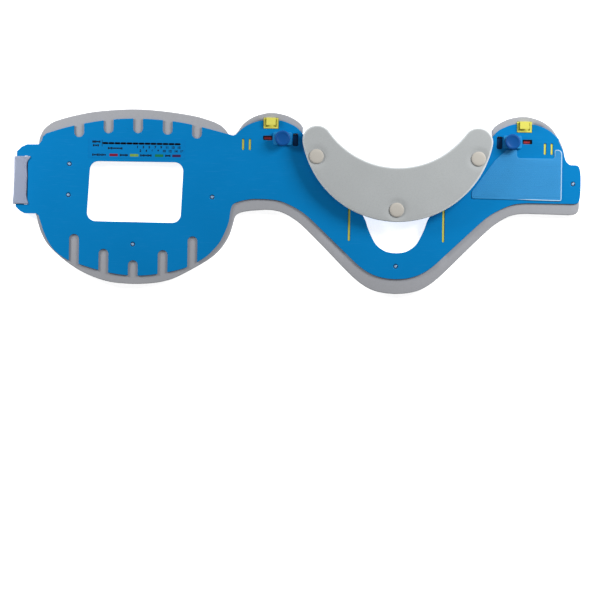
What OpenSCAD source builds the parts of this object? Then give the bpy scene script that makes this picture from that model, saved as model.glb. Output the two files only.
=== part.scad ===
// Adjustable rigid extrication collar, adult size, laid open and flat.
// Millimetres. X runs along the collar, Y towards the wearer's head, Z out of the outer face.
// The origin is under the middle of the collar, on the surface that it lies on.

/* [Shell] */
// Thickness of the flexible plastic shell
panel_t = 1.8; // [1.4:0.1:2]
// Thickness of the foam lining
foam_t = 8.2; // [8:0.1:9]
// Width of the relief notches that let the shell bend round the neck
notch_w = 10.2; // [6:0.2:11]
// Distance between neighbouring relief notches
notch_pitch = 30.8; // [30:0.1:31.5]

/* [Chin support] */
// Outer radius of the crescent
chin_outer_r = 100.5; // [99:0.1:100.5]
// Radius of the crescent's concave edge
chin_inner_r = 88; // [87:0.5:90]
// Radius of the crescent's rounded tips
chin_tip_r = 15.3; // [15:0.1:16]
// Thickness of the chin plate
chin_plate_t = 1.6; // [1.4:0.1:2]
// Thickness of the chin foam
chin_foam_t = 8; // [6:0.5:9]

/* [Height adjuster] */
// Number of height settings
settings = 16; // [12:1:16]
// Height gained from one setting to the next
setting_pitch = 3.1; // [2.8:0.1:3.1]
// Width of the size window
window_w = 10; // [8:0.5:10]
// Height of the size window
window_h = 4.6; // [4:0.2:4.6]
// Radius of the lock button's cap
button_r = 8; // [7:0.5:8]
// How far the lock button is pressed to lock
button_travel = 2; // [1.6:0.1:2]

/* [Strap] */
// Width of the closing strap
strap_w = 50; // [40:1:50]
// Thickness of the closing strap
strap_t = 1.2; // [0.8:0.1:1.2]

/* [Hidden] */
$fn = 64;
curve_steps = 5; // straight pieces between two points of a smooth outline
eps = 0.01;

// Heights of the layers
panel_z = foam_t;                       // back of the shell
face_z = panel_z + panel_t;             // outer face of the shell
guide_t = 1.2;                          // web of the yellow guide
guide_z = panel_z - guide_t;
film_t = 0.2;                           // printed size strip
slide_t = 1.2;
slide_z = guide_z - 0.4 - slide_t;      // 0.4 leaves room for the strip and a running gap
lip_t = 1;
lip_z = slide_z - 0.2 - lip_t;
pocket_z = lip_z - 0.2;                 // floor of the foam's pocket behind the guide
hinge_z = face_z + 2;                   // axis on which the chin support flips
hinge_r = 1.25;
hinge_gap = 0.05;
knuckle_r = 2.5;
chin_z = hinge_z + knuckle_r + 0.1;     // back of the chin plate
chin_foam_z = chin_z + chin_plate_t;
chin_top = chin_foam_z + chin_foam_t;

// Middle of the front, about which the front is symmetrical. Front positions are measured from it.
front_x = 104;

// Places of the height adjuster, measured from the middle of the front
button_x = 119.5;
button_y = 65.5;
window_x = 135;
window_y = 65.9;
slide_x = [112, 142];
slide_y = [13, 70.3];
arm_x = 80;
arm_y = [58, 70.3];
hinge_y = 68;
post_x = [80, 88];
knuckle_w = 5.5;
hook_x = [123.9, 139.7];
hook_y = [75.5, 87];
slit_x = [153.5, 160.5];
slit_y = [52.8, 64.8];
batten_x = 49;
batten_y = [-40, -3];
slit_w = 2.6;
rib_w = 2.2;
rib_drop = 0.9;                          // how far the ribs stay below the shell's face

// The crescent's circles have their centres on the middle of the front
chin_outer_y = 80.8;
chin_inner_y = 124.8;

// The back part: relief notches, window, scale label and strap tab
top_notches = [[-227.2, 63.8], [-196.7, 68.2], [-166, 68.8], [-135.2, 67.7], [-104.7, 64.1]];
bottom_notch_x = -230.8;
bottom_notch_y = [-37.2, -52.2, -63.6, -52.6, -37.8];
window_corners = [[-215, 39, 9], [-118, 39, 9], [-120.5, -24, 9], [-218.3, -23.3, 9]];
label_x = [-217, -117];
label_y = [42.5, 63];
label_t = 0.15;
tab_slot_x = [-283.5, -280];
tab_edge_x = -292.2;
strap_y = [-6.8, -6.8 + strap_w];

// Push rivets: a flat head on the foam, a shank, and an end staked into a countersunk hole
rivet_r = 1.6;
rivet_hole_r = 1.7;
rivet_sink_r = 2.9;
rivet_stake_r = 2.3;
disc_r = 7.5;
disc_t = 1.2;
recess_z = 2.8;                          // depth of the hollow in which the folded strap lies
recess_x = [-275, -219.5];
strap_rivets = [[-236.8, 35.7], [-237.4, 3.4]];
back_rivets = [[-169.7, -46.9], [-87.9, 3.4], [front_x, -65.7], [287, 22.8]];
chin_rivets_at = [[-84, 47], [0, -7.2], [84, 47]];
loop_t = 1.2;

// ---- Outlines ----

// One point of the smooth curve from b to c, t of the way, with a and d as neighbours
function between(a, b, c, d, t) =
    0.5 * (2 * b + (c - a) * t + (2 * a - 5 * b + 4 * c - d) * t * t + (3 * b - a - 3 * c + d) * t * t * t);

// A smooth curve through the points p
function smooth(p, steps = curve_steps) = [
    for (i = [0 : len(p) - 2], k = [0 : steps - 1])
        between(p[max(i - 1, 0)], p[i], p[i + 1], p[min(i + 2, len(p) - 1)], k / steps),
    p[len(p) - 1]
];

// The same points in the opposite order
function backwards(p) = [for (i = [len(p) - 1 : -1 : 0]) p[i]];

// Points given from the middle of the front, on the right or left side of it
function on_right(p) = [for (q = p) [front_x + q[0], q[1]]];
function on_left(p) = [for (q = p) [front_x - q[0], q[1]]];

// Points on an arc about c
function arc(c, r, from, to, steps = 24) =
    [for (i = [0 : steps]) c + r * [cos(from + (to - from) * i / steps), sin(from + (to - from) * i / steps)]];

// A polygon whose corners [x, y, radius] are rounded
function rounded(p, steps = 8) = [
    for (i = [0 : len(p) - 1])
        let (a = p[(i + len(p) - 1) % len(p)], b = p[i], c = p[(i + 1) % len(p)],
             v = [b[0], b[1]],
             u = [a[0] - b[0], a[1] - b[1]] / norm([a[0] - b[0], a[1] - b[1]]),
             w = [c[0] - b[0], c[1] - b[1]] / norm([c[0] - b[0], c[1] - b[1]]),
             half = acos(u * w) / 2,
             m = (u + w) / norm(u + w),
             centre = v + m * b[2] / sin(half),
             start = v + u * b[2] / tan(half) - centre,
             end = v + w * b[2] / tan(half) - centre,
             a0 = atan2(start[1], start[0]),
             turn = (atan2(end[1], end[0]) - a0 + 540) % 360 - 180)
        for (k = [0 : steps]) centre + b[2] * [cos(a0 + turn * k / steps), sin(a0 + turn * k / steps)]
];

// Top of a lobe, from the side away from the chin to the side next to it
lobe = [[168, 69], [162.5, 74.3], [156, 79], [145, 83.3], [133, 84.6], [120, 83.8], [109, 79.6],
        [103.6, 76], [98.7, 70.8]];
foam_lobe = [[166, 72.5], [160, 80.7], [150, 87.8], [138, 91.6], [131, 92.3], [124, 91.7], [115, 89.5],
             [107, 85.7], [101.8, 82], [98.2, 77.4]];

// Dip between the lobes, from a lobe down to the middle of the windpipe opening
dip = [[98.4, 66], [97.6, 58], [92.6, 51], [78, 41], [61, 22], [45, 1], [33.5, -15.5], [29.5, -26],
       [25.5, -35], [20.3, -43.6], [12.5, -49.3], [6, -51.3], [0, -51.8]];

// Lower edge of the front, from its middle outwards
hem = [[0, -79], [12, -78], [25, -74], [38, -65.8], [54, -51], [74, -32], [93, -14.5], [107, -5.5],
       [122, 0.6], [136, 2.2]];
foam_hem = [[0, -94.4], [13, -93.3], [26, -89.7], [39, -81.7], [53, -69], [74, -47.7], [95, -27.2],
            [105, -19], [117, -12], [127, -9.3], [136, -8.7]];

// Right-hand end: the outer side of the lobe and the end tab
panel_end = concat(smooth([[168, 66.6], [172, 58], [175, 48], [179, 43.3], [184, 42.6]]),
                   smooth([[186, 42.6], [189.3, 40.5], [191, 33], [191.3, 20], [190.8, 10], [189.3, 4],
                           [185, 2.1]]));
foam_end = concat(smooth([[168, 69.5], [172.4, 60], [175, 49], [178, 42]]),
                  smooth([[183, 41], [187, 39], [189.5, 34], [190, 10], [189.8, -3], [186.8, -8],
                          [180, -9.4]]));

// Back part, above and below
back_top = [[-261.5, 67], [-250, 70.8], [-234, 75.3], [-204, 81.2], [-172, 83.9], [-140, 82.7],
            [-113, 79.1], [-86, 72.7], [-67, 67.9]];
back_bottom = [[-45, 2.3], [-53, 1], [-60.5, -1], [-65.4, -3.2], [-67.6, -6.5], [-68.8, -12],
               [-70.8, -24], [-78, -41], [-86, -51.5], [-96, -60.5],
               [-116, -71], [-146, -77.8], [-170, -79.4], [-196, -76.4], [-227, -67.8], [-241, -62],
               [-252, -53.5], [-260, -41], [-265, -28], [-268, -18.5]];
foam_back_top = [[-269.3, 56], [-268.4, 62], [-265.6, 69], [-260.4, 75], [-252, 80.3], [-232, 86.3],
                 [-208, 91], [-172, 93.8], [-140, 92.2], [-109, 88], [-92, 83.5], [-82, 79.5],
                 [-76, 75], [-71.5, 69]];
foam_back_bottom = [[-48, -10], [-58, -12], [-63.5, -16], [-66, -25], [-70, -37], [-79, -51], [-93, -63],
                    [-121, -79], [-136, -84.6], [-152, -87.3], [-174, -88], [-199, -85], [-227, -73.6],
                    [-253, -54], [-265, -37], [-271, -17]];

// The end tab that carries the strap
strap_tab = [[-270.5, -16.4], [-283, -16.4], [-287.5, -14], [tab_edge_x, -9.5], [tab_edge_x + 0.6, 48],
             [-286.5, 53], [-281, 55.4], [-269, 55.6], [-266.2, 59], [-264.6, 63.8]];

panel_outline = concat(
    strap_tab,
    smooth(back_top),
    on_left(smooth(lobe)), on_left(smooth(dip)),
    on_right(backwards(smooth(dip))), on_right(backwards(smooth(lobe))),
    on_right(panel_end),
    on_right(backwards(smooth(hem))), on_left(smooth(hem)),
    smooth(back_bottom));

// The lining's edge in the dip stays inside the shell's
foam_dip = [for (q = dip) q + [0.8, -1.2]];
foam_outline = concat(
    smooth(foam_back_top),
    [[-67.5, 65.5]],
    on_left(smooth(foam_lobe)), on_left(smooth(foam_dip)),
    on_right(backwards(smooth(foam_dip))), on_right(backwards(smooth(foam_lobe))),
    on_right(foam_end),
    on_right(backwards(smooth(foam_hem))), on_left(smooth(foam_hem)),
    smooth(foam_back_bottom));

// The crescent, drawn in by inset all round. Its tips touch both circles.
module crescent(inset = 0) {
    r_out = chin_outer_r - chin_tip_r;
    r_in = chin_inner_r + chin_tip_r;
    tip_y = (chin_inner_y ^ 2 - chin_outer_y ^ 2 - r_in ^ 2 + r_out ^ 2)
        / (2 * (chin_inner_y - chin_outer_y));
    tip_x = sqrt(r_out ^ 2 - (tip_y - chin_outer_y) ^ 2);
    a_out = atan2(tip_y - chin_outer_y, tip_x);
    a_in = atan2(tip_y - chin_inner_y, tip_x);
    polygon(concat(
        arc([0, chin_outer_y], chin_outer_r - inset, 180 - a_out, 360 + a_out, 72),
        arc([tip_x, tip_y], chin_tip_r - inset, a_out, a_in + 180, 18),
        arc([0, chin_inner_y], chin_inner_r + inset, a_in, -180 - a_in, 48),
        arc([-tip_x, tip_y], chin_tip_r - inset, -a_in, 180 - a_out, 18)));
}

// ---- Shapes that repeat ----

// A box between two corners
module block(low, high) translate(low) cube(high - low);

// Its contents on the right side of the front, or mirrored to the left
module side(left) {
    if (left) translate([front_x, 0, 0]) mirror([1, 0, 0]) children();
    else translate([front_x, 0, 0]) children();
}

// Its contents on both sides of the front
module both_sides() {
    side(true) children();
    side(false) children();
}

// A relief notch with a round end, cut down from the top edge or up from the bottom edge
module notch(x, y, up) {
    r = notch_w / 2;
    translate([x, y + up * r]) circle(r);
    translate([x - r, up > 0 ? y + r : y - r - 60]) square([notch_w, 60]);
}

// A slit with round ends between two heights
module slit(x, y, w) {
    translate([x, y[0] + w / 2]) circle(w / 2, $fn = 24);
    translate([x, y[1] - w / 2]) circle(w / 2, $fn = 24);
    translate([x - w / 2, y[0] + w / 2]) square([w, y[1] - y[0] - w]);
}

// A push rivet whose head faces down and stands on z = 0 and whose staked end finishes at z = top
module rivet(top) {
    stake = 1.1;
    cylinder(h = disc_t, r = disc_r);
    translate([0, 0, disc_t - eps]) cylinder(h = top - stake - disc_t + 2 * eps, r = rivet_r);
    translate([0, 0, top - stake]) cylinder(h = 0.6, r1 = rivet_r, r2 = rivet_stake_r);
    translate([0, 0, top - 0.5]) cylinder(h = 0.5, r1 = rivet_stake_r, r2 = rivet_r - 0.2);
}

// A countersunk hole for a rivet through a sheet from z = 0 to z = t, wide at the top
module rivet_hole(t) {
    translate([0, 0, -1]) cylinder(h = t + 2, r = rivet_hole_r);
    translate([0, 0, t - 1.2]) cylinder(h = 1.2 + eps, r1 = rivet_hole_r, r2 = rivet_sink_r);
}

// ---- Shell, lining and what is fixed to them ----

module window_shape(grow) polygon(rounded([for (c = window_corners)
    [c[0] + sign(c[0] + 168) * grow, c[1] + sign(c[1]) * grow, c[2] + grow]]));

module panel() color("dodgerblue") difference() {
    translate([0, 0, panel_z]) linear_extrude(panel_t) difference() {
        polygon(panel_outline);
        window_shape(0);
        for (n = top_notches) notch(n[0], n[1], 1);
        for (i = [0 : 4]) notch(bottom_notch_x + i * notch_pitch, bottom_notch_y[i], -1);
        both_sides() front_cuts();
        translate([tab_slot_x[0], strap_y[0] - 0.3])
            square([tab_slot_x[1] - tab_slot_x[0], strap_w + 0.6]);
    }
    translate([0, 0, panel_z]) {
        for (p = concat(strap_rivets, back_rivets)) translate([p[0], p[1], 0]) rivet_hole(panel_t);
        both_sides() translate([button_x, button_y, -1]) cylinder(h = panel_t + 2, r = 6);
    }
}

// Cuts in each lobe: hook notch, size window, slits, and the opening beside the button
module front_cuts() {
    translate([hook_x[0], hook_y[0]]) square([hook_x[1] - hook_x[0], 20]);
    polygon([for (q = rounded([[-window_w / 2, -window_h / 2, 1], [window_w / 2, -window_h / 2, 1],
                               [window_w / 2, window_h / 2, 1], [-window_w / 2, window_h / 2, 1]], 4))
        q + [window_x, window_y]]);
    for (x = slit_x) slit(x, slit_y, slit_w);
    slit(batten_x, batten_y, slit_w);
    polygon(rounded([[103.2, 58, 1.5], [109, 58, 1.5], [109, 71, 1.5], [103.2, 71, 1.5]], 4));
}

module foam_lining() color("darkgray") difference() {
    linear_extrude(foam_t) difference() {
        polygon(foam_outline);
        window_shape(1);
    }
    block([recess_x[0], strap_y[0] - 1.5, -1], [recess_x[1], strap_y[1] + 1.5, recess_z]);
    for (p = strap_rivets) translate([p[0], p[1], 0]) {
        cylinder(h = recess_z + disc_t + 0.2, r = disc_r + 0.3);
        translate([0, 0, -1]) cylinder(h = foam_t + 2, r = rivet_r + 0.2);
    }
    for (p = back_rivets) translate([p[0], p[1], -1]) {
        cylinder(h = disc_t + 1.4, r = disc_r + 0.3);
        cylinder(h = foam_t + 2, r = rivet_r + 0.2);
    }
    both_sides() {
        block([95, 11, pocket_z], [146.6, 100, guide_z]);
        translate([0, 0, guide_z - 0.2]) linear_extrude(foam_t) guide_outline(0.5);
        block([101.6, 56.6, pocket_z], [106, 72.4, foam_t + 1]);
        block([hook_x[0], 80, guide_z - 0.2], [hook_x[1], hook_y[1] + 0.3, foam_t + 1]);
        block([batten_x - 3.4, batten_y[0] - 2.4, panel_z - 1.2],
              [batten_x + 3.4, batten_y[1] + 2.4, foam_t + 1]);
    }
}

module panel_rivets() color("ivory") {
    for (p = back_rivets) translate([p[0], p[1], 0.3]) rivet(face_z - 0.3);
    for (p = strap_rivets) translate([p[0], p[1], recess_z + 0.1]) rivet(face_z - recess_z - 0.1);
}

module scale_label() color("lightskyblue")
    block([label_x[0], label_y[0], face_z], [label_x[1], label_y[1], face_z + label_t]);

// The soft half of the hook and loop fastening, cut round the lock and the slits
module loop_pad() color("cornflowerblue") translate([front_x, 0, face_z]) linear_extrude(loop_t)
    polygon(rounded([[78, 6.3, 1.5], [171.4, 4.8, 2], [171.4, 58.3, 4.5], [163.4, 58.3, 2],
                     [163.4, 49, 2], [124.4, 49, 3], [124.4, 57.4, 1.5], [113.6, 57.4, 4],
                     [101.5, 46, 14], [91, 31.5, 20], [78, 13.5, 3]], 5));

// ---- Strap ----

// The band round the end bar, seen along Y: an outer and an inner loop
module strap_loop() color("lightsteelblue") translate([0, strap_y[1], 0]) rotate([90, 0, 0])
    linear_extrude(strap_w) difference() {
        polygon(rounded([[tab_edge_x - 2.2, panel_z - 1.5, 1.6], [-281.9, panel_z - 1.5, 1.6],
                         [-281.9, face_z + 1.5, 1.6], [tab_edge_x - 2.2, face_z + 1.5, 1.6]]));
        polygon(rounded([[tab_edge_x - 1, panel_z - 0.3, 0.4], [-283.1, panel_z - 0.3, 0.4],
                         [-283.1, face_z + 0.3, 0.4], [tab_edge_x - 1, face_z + 0.3, 0.4]], 3));
    }

// The free end, which leaves the loop at the end bar and lies folded once under the lining
tail_hinge = [tab_edge_x - 2.7, panel_z - 2.1];
tail_z = strap_t / 2;
tail_gap = 0.1;
tail_route = concat(
    [tail_hinge + [0, -0.6], tail_hinge + [4, -0.8]],
    smooth([tail_hinge + [9, -1.6], [-280.5, 2.6], [-275.5, tail_z]]),
    [[-224, tail_z]],
    arc([-224, strap_t + tail_gap / 2], strap_t / 2 + tail_gap / 2, -75, 75, 6),
    [[-224, tail_z + strap_t + tail_gap], [-266, tail_z + strap_t + tail_gap]]);

// The two long edges of a band of thickness t whose middle follows the route p
function edge(p, t) = [
    for (i = [0 : len(p) - 1])
        let (d = p[min(i + 1, len(p) - 1)] - p[max(i - 1, 0)])
        p[i] + [-d[1], d[0]] / norm(d) * t / 2
];

module strap_tail() color("lightsteelblue") translate([0, strap_y[1], 0]) rotate([90, 0, 0])
    linear_extrude(strap_w)
        polygon(concat(edge(tail_route, strap_t), backwards(edge(tail_route, -strap_t))));

// ---- Height adjuster, drawn for the right side ----

// Outline of the guide, or of the foam's pocket that is larger by grow all round
module guide_outline(grow) polygon([
    [106 - grow, 13 - grow], [145.5 + grow, 13 - grow], [145.5 + grow, 47 - grow],
    [165.5 + grow, 47 - grow], [165.5 + grow, 66 + grow], [158, 74 + grow], [149, 80 + grow],
    [hook_x[1] + 3, 82.5 + grow], [hook_x[0] - 4, 82.5 + grow], [106 - grow, 74 + grow]]);

// Channel behind the lobe, with the tube hook at its top and ribs that stand in the slits
module guide() color("gold") {
    difference() {
        translate([0, 0, guide_z]) linear_extrude(guide_t) difference() {
            guide_outline(0);
            translate([window_x - window_w / 2 - 0.6, window_y - window_h / 2 - 0.6])
                square([window_w + 1.2, window_h + 1.2]);
            translate([102, 57]) square([7.6, 15]);
        }
        translate([button_x, button_y, guide_z - 1]) cylinder(h = guide_t + 2, r = 5.7);
    }
    rail([slide_x[1] + 0.3, slide_x[1] + 3.4], [12.5, 82], -2.2);
    rail([slide_x[0] - 3.4, slide_x[0] - 0.3], [12.5, 57.2], 2.2);
    for (x = slit_x) translate([0, 0, panel_z - eps]) linear_extrude(panel_t - rib_drop)
        slit(x, [slit_y[0] + 0.2, slit_y[1] - 0.2], rib_w);
    hook();
}

// One side wall of the channel, with a lip that reaches lip_w under the slide
module rail(x, y, lip_w) {
    block([x[0], y[0], lip_z], [x[1], y[1], guide_z + eps]);
    block([min(x[0], x[0] + lip_w), y[0], lip_z], [max(x[1], x[1] + lip_w), y[1], lip_z + lip_t]);
}

// A frame in the notch of the shell, with a tongue that a breathing tube is pushed under
module hook() {
    x = [hook_x[0] + 0.3, hook_x[1] - 0.3];
    y = [hook_y[0] + 0.3, hook_y[1]];
    frame_top = face_z + 0.5;
    tongue_z = face_z + 2.7;
    block([x[0], y[0], panel_z - eps], [x[1], y[0] + 1.8, frame_top]);
    for (q = [x[0], x[1] - 2]) block([q, y[0], panel_z - eps], [q + 2, y[1] - 0.6, frame_top]);
    block([x[0], 82, guide_z], [x[1], y[1], panel_z]);
    block([x[0] + 2.7, y[1] - 1.8, panel_z - eps], [x[1] - 2.7, y[1], tongue_z + 1.3]);
    block([x[0] + 2.7, y[0] + 3.4, tongue_z], [x[1] - 2.7, y[1], tongue_z + 1.3]);
    block([x[0] + 2.7, y[0] + 3.4, tongue_z - 0.5], [x[1] - 2.7, y[0] + 4.4, tongue_z + eps]);
}

// Strip that stiffens the front beside the windpipe opening: a flange behind, a rib in the slit
module batten() color("gold") {
    block([batten_x - 3, batten_y[0] - 2, panel_z - 1], [batten_x + 3, batten_y[1] + 2, panel_z]);
    translate([0, 0, panel_z - eps]) linear_extrude(panel_t - rib_drop)
        slit(batten_x, [batten_y[0] + 0.2, batten_y[1] - 0.2], rib_w);
}

// Collar on the outer face in which the button's stem runs
module lock_housing() color("deepskyblue") difference() {
    union() {
        translate([button_x, button_y, face_z]) linear_extrude(3) polygon(rounded(
            [[-9.5, -6.6, 1.5], [9.5, -6.6, 1.5], [9.5, 6.6, 1.5], [-9.5, 6.6, 1.5]], 4));
        translate([button_x, button_y, panel_z]) cylinder(h = panel_t + eps, r = 5.9);
    }
    translate([button_x, button_y, panel_z - 1]) cylinder(h = panel_t + 5, r = 5.05);
}

// Push button: dished cap, stem, and two teeth for the slide's holes
module lock_button() color("royalblue") translate([button_x, button_y, 0]) {
    cap_z = face_z + 3 + button_travel + 0.2;
    cap_t = 5;
    stem_z = slide_z + slide_t + 0.3 + button_travel;
    tooth_z = stem_z - button_travel;
    translate([0, 0, cap_z]) rotate_extrude($fn = 72) polygon([
        [0, 0], [button_r - 0.6, 0], [button_r, 0.6], [button_r, cap_t - 1.2], [button_r - 0.5, cap_t - 0.4],
        [button_r - 1.3, cap_t], [button_r - 2.2, cap_t - 0.1], [button_r - 3.6, cap_t - 0.6], [0, cap_t - 1]]);
    translate([0, 0, stem_z]) cylinder(h = cap_z - stem_z + eps, r = 5);
    for (i = [0, 1]) block([-3.1, -i * setting_pitch - 0.55, tooth_z],
                           [3.1, -i * setting_pitch + 0.55, stem_z + eps]);
}

// Slide behind the shell: ratchet holes, an arm into the dip, and a post for the hinge pin
module slide() color("dodgerblue") difference() {
    union() {
        block([slide_x[0], slide_y[0], slide_z], [slide_x[1], slide_y[1], slide_z + slide_t]);
        block([arm_x, arm_y[0], slide_z], [slide_x[0] + 1, arm_y[1], slide_z + slide_t]);
        block([post_x[0], hinge_y - 2.3, slide_z], [post_x[1], hinge_y + 2.3, hinge_z]);
        translate([post_x[0], hinge_y, hinge_z]) rotate([0, 90, 0])
            cylinder(h = post_x[1] - post_x[0], r = 2.3);
    }
    for (i = [0 : settings]) translate([button_x - 4, button_y - i * setting_pitch - 0.8, slide_z - 1])
        cube([8, 1.6, slide_t + 2]);
    translate([post_x[0] - 1, hinge_y, hinge_z]) rotate([0, 90, 0])
        cylinder(h = post_x[1] - post_x[0] + 2, r = hinge_r + hinge_gap);
}

// Printed strip on the slide, which shows the setting in the window
module size_strip() color("crimson")
    block([window_x - 5.5, window_y - (settings - 0.5) * setting_pitch, slide_z + slide_t],
          [window_x + 5.5, window_y + 3.6, slide_z + slide_t + film_t]);

// ---- Chin support ----

module hinge_pin() color("silver") translate([post_x[0] - knuckle_w - 1.2, hinge_y, hinge_z])
    rotate([0, 90, 0]) cylinder(h = post_x[1] - post_x[0] + 2 * knuckle_w + 2.4, r = hinge_r);

// The two eyes beside each post, under the tip of the chin plate
module knuckles() for (x = [post_x[0] - knuckle_w - 0.4, post_x[1] + 0.4]) difference() {
    union() {
        block([x, hinge_y - knuckle_r, hinge_z], [x + knuckle_w, hinge_y + knuckle_r, chin_z + eps]);
        translate([x, hinge_y, hinge_z]) rotate([0, 90, 0]) cylinder(h = knuckle_w, r = knuckle_r);
    }
    translate([x - 1, hinge_y, hinge_z]) rotate([0, 90, 0])
        cylinder(h = knuckle_w + 2, r = hinge_r + hinge_gap);
}

module chin_plate() color("dodgerblue") {
    difference() {
        translate([front_x, 0, chin_z]) linear_extrude(chin_plate_t) crescent(1.5);
        for (p = chin_rivets_at) translate([front_x + p[0], p[1], chin_z + chin_plate_t])
            rotate([180, 0, 0]) rivet_hole(chin_plate_t);
    }
    both_sides() knuckles();
}

module chin_foam() color("silver") difference() {
    translate([front_x, 0, chin_foam_z]) linear_extrude(chin_foam_t) crescent();
    for (p = chin_rivets_at) translate([front_x + p[0], p[1], 0]) {
        translate([0, 0, chin_top - 0.6]) cylinder(h = 2, r = disc_r + 0.3);
        translate([0, 0, chin_z]) cylinder(h = chin_foam_t + 5, r = rivet_r + 0.2);
    }
}

module chin_rivets() color("ivory") for (p = chin_rivets_at)
    translate([front_x + p[0], p[1], chin_top + disc_t - 0.55]) rotate([180, 0, 0])
        rivet(chin_top + disc_t - 0.55 - chin_z);

panel();
foam_lining();
panel_rivets();
scale_label();
loop_pad();
strap_loop();
strap_tail();
side(true) guide();  // left_guide
side(false) guide();  // right_guide
side(true) batten();  // left_batten
side(false) batten();  // right_batten
side(true) lock_housing();  // left_lock_housing
side(false) lock_housing();  // right_lock_housing
side(true) lock_button();  // left_lock_button
side(false) lock_button();  // right_lock_button
side(true) slide();  // left_slide
side(false) slide();  // right_slide
side(true) size_strip();  // left_size_strip
side(false) size_strip();  // right_size_strip
side(true) hinge_pin();  // left_hinge_pin
side(false) hinge_pin();  // right_hinge_pin
chin_plate();
chin_foam();
chin_rivets();
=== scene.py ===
"""Dresses the frame of an adjustable neck collar that lies open and flat on a table.

Sizes in the classes are millimetres. They become metres where a mesh or a node is made. Places come
from the frame: its boxes, the outlines of its faces, and the separate solids inside its nodes.
"""

import logging
import math
from dataclasses import dataclass, field
from enum import Enum
from typing import Callable, Iterator, Optional, Sequence

import bmesh
import bpy
import numpy as np
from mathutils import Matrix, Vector
from mathutils.geometry import delaunay_2d_cdt


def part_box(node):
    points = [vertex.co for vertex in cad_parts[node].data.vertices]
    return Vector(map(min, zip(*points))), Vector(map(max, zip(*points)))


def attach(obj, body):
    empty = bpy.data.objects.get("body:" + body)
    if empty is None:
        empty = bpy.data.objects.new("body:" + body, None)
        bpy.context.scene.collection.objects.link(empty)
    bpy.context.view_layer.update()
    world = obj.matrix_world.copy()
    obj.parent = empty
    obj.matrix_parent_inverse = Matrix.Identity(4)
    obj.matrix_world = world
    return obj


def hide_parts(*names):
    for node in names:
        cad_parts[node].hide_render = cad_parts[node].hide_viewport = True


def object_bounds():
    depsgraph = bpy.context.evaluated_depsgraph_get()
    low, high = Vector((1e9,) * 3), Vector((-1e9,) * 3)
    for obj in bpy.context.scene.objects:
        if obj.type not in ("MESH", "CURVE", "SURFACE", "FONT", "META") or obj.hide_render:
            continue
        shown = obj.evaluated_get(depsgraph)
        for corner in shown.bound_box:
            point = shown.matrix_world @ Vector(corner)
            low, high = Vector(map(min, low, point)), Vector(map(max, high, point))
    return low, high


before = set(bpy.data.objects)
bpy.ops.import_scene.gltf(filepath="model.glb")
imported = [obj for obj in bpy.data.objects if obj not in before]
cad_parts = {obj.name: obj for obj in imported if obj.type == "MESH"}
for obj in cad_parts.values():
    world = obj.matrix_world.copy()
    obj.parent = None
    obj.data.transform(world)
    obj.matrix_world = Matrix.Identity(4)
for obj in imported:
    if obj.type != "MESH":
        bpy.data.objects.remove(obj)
cad_low, cad_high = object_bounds()

log = logging.getLogger("collar")
MM = 0.001
SAME_POINT = 1e-6  # metres: corners closer than this are one corner
SAME_LEVEL = 1e-5  # metres: corners whose heights differ by less lie on one flat face
ON_OUTLINE = 2e-5  # metres: places nearer to an outline than this are on it
COPY_MELT = math.radians(0.4)
NODE_MELT = math.radians(0.3)
SHARP_ANGLE = math.radians(35.0)
ROUNDED_ANGLE = math.radians(38.0)
WHITE = (1.0, 1.0, 1.0, 1.0)
Colour = tuple[float, float, float]
Point2 = tuple[float, float]
Point3 = tuple[float, float, float]


class Side(Enum):
    """The two sides of the collar's front, by the first word of their nodes' names."""

    LEFT = "left"
    RIGHT = "right"


class Body(Enum):
    """The bodies that pieces ride on."""

    SHELL = "shell"
    CHIN = "chin_support"


# ---- Node trees ----


@dataclass
class Graph:
    """A shader or geometry node tree, with short ways to add nodes and join their sockets."""

    tree: bpy.types.NodeTree

    def add(self, kind: str, values: Optional[dict] = None, **settings: object) -> bpy.types.Node:
        """Adds one node.

        Args:
            kind: The node's type name.
            values: Socket values, by the socket's name or place.
            settings: The node's own properties.

        Returns:
            The new node.
        """
        node = self.tree.nodes.new(kind)
        for name, value in settings.items():
            setattr(node, name, value)
        for name, value in (values or {}).items():
            node.inputs[name].default_value = value
        return node

    def join(self, source: bpy.types.NodeSocket, target: bpy.types.NodeSocket) -> None:
        """Links one output socket to one input socket."""
        self.tree.links.new(source, target)

    def maths(self, operation: str, a: object, b: object = 0.0) -> bpy.types.NodeSocket:
        """Adds a Math node.

        Args:
            operation: What the node works out.
            a: Its first number or a socket that gives it.
            b: Its second number or a socket that gives it.

        Returns:
            The node's output.
        """
        node = self.add("ShaderNodeMath", operation=operation)
        for place, given in enumerate((a, b)):
            if isinstance(given, bpy.types.NodeSocket):
                self.join(given, node.inputs[place])
            else:
                node.inputs[place].default_value = given
        return node.outputs[0]

    def mix(self, share: object, a: object, b: object) -> bpy.types.NodeSocket:
        """Adds a Mix node for two colours.

        Args:
            share: How much of b shows, as a number or a socket.
            a: The first colour or a socket.
            b: The second colour or a socket.

        Returns:
            The mixed colour's socket.
        """
        node = self.add("ShaderNodeMix", data_type="RGBA")
        for place, given in ((0, share), (6, a), (7, b)):
            if isinstance(given, bpy.types.NodeSocket):
                self.join(given, node.inputs[place])
            elif place == 0:
                node.inputs[place].default_value = given
            else:
                node.inputs[place].default_value = (*given, 1.0)
        return node.outputs[2]


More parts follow.
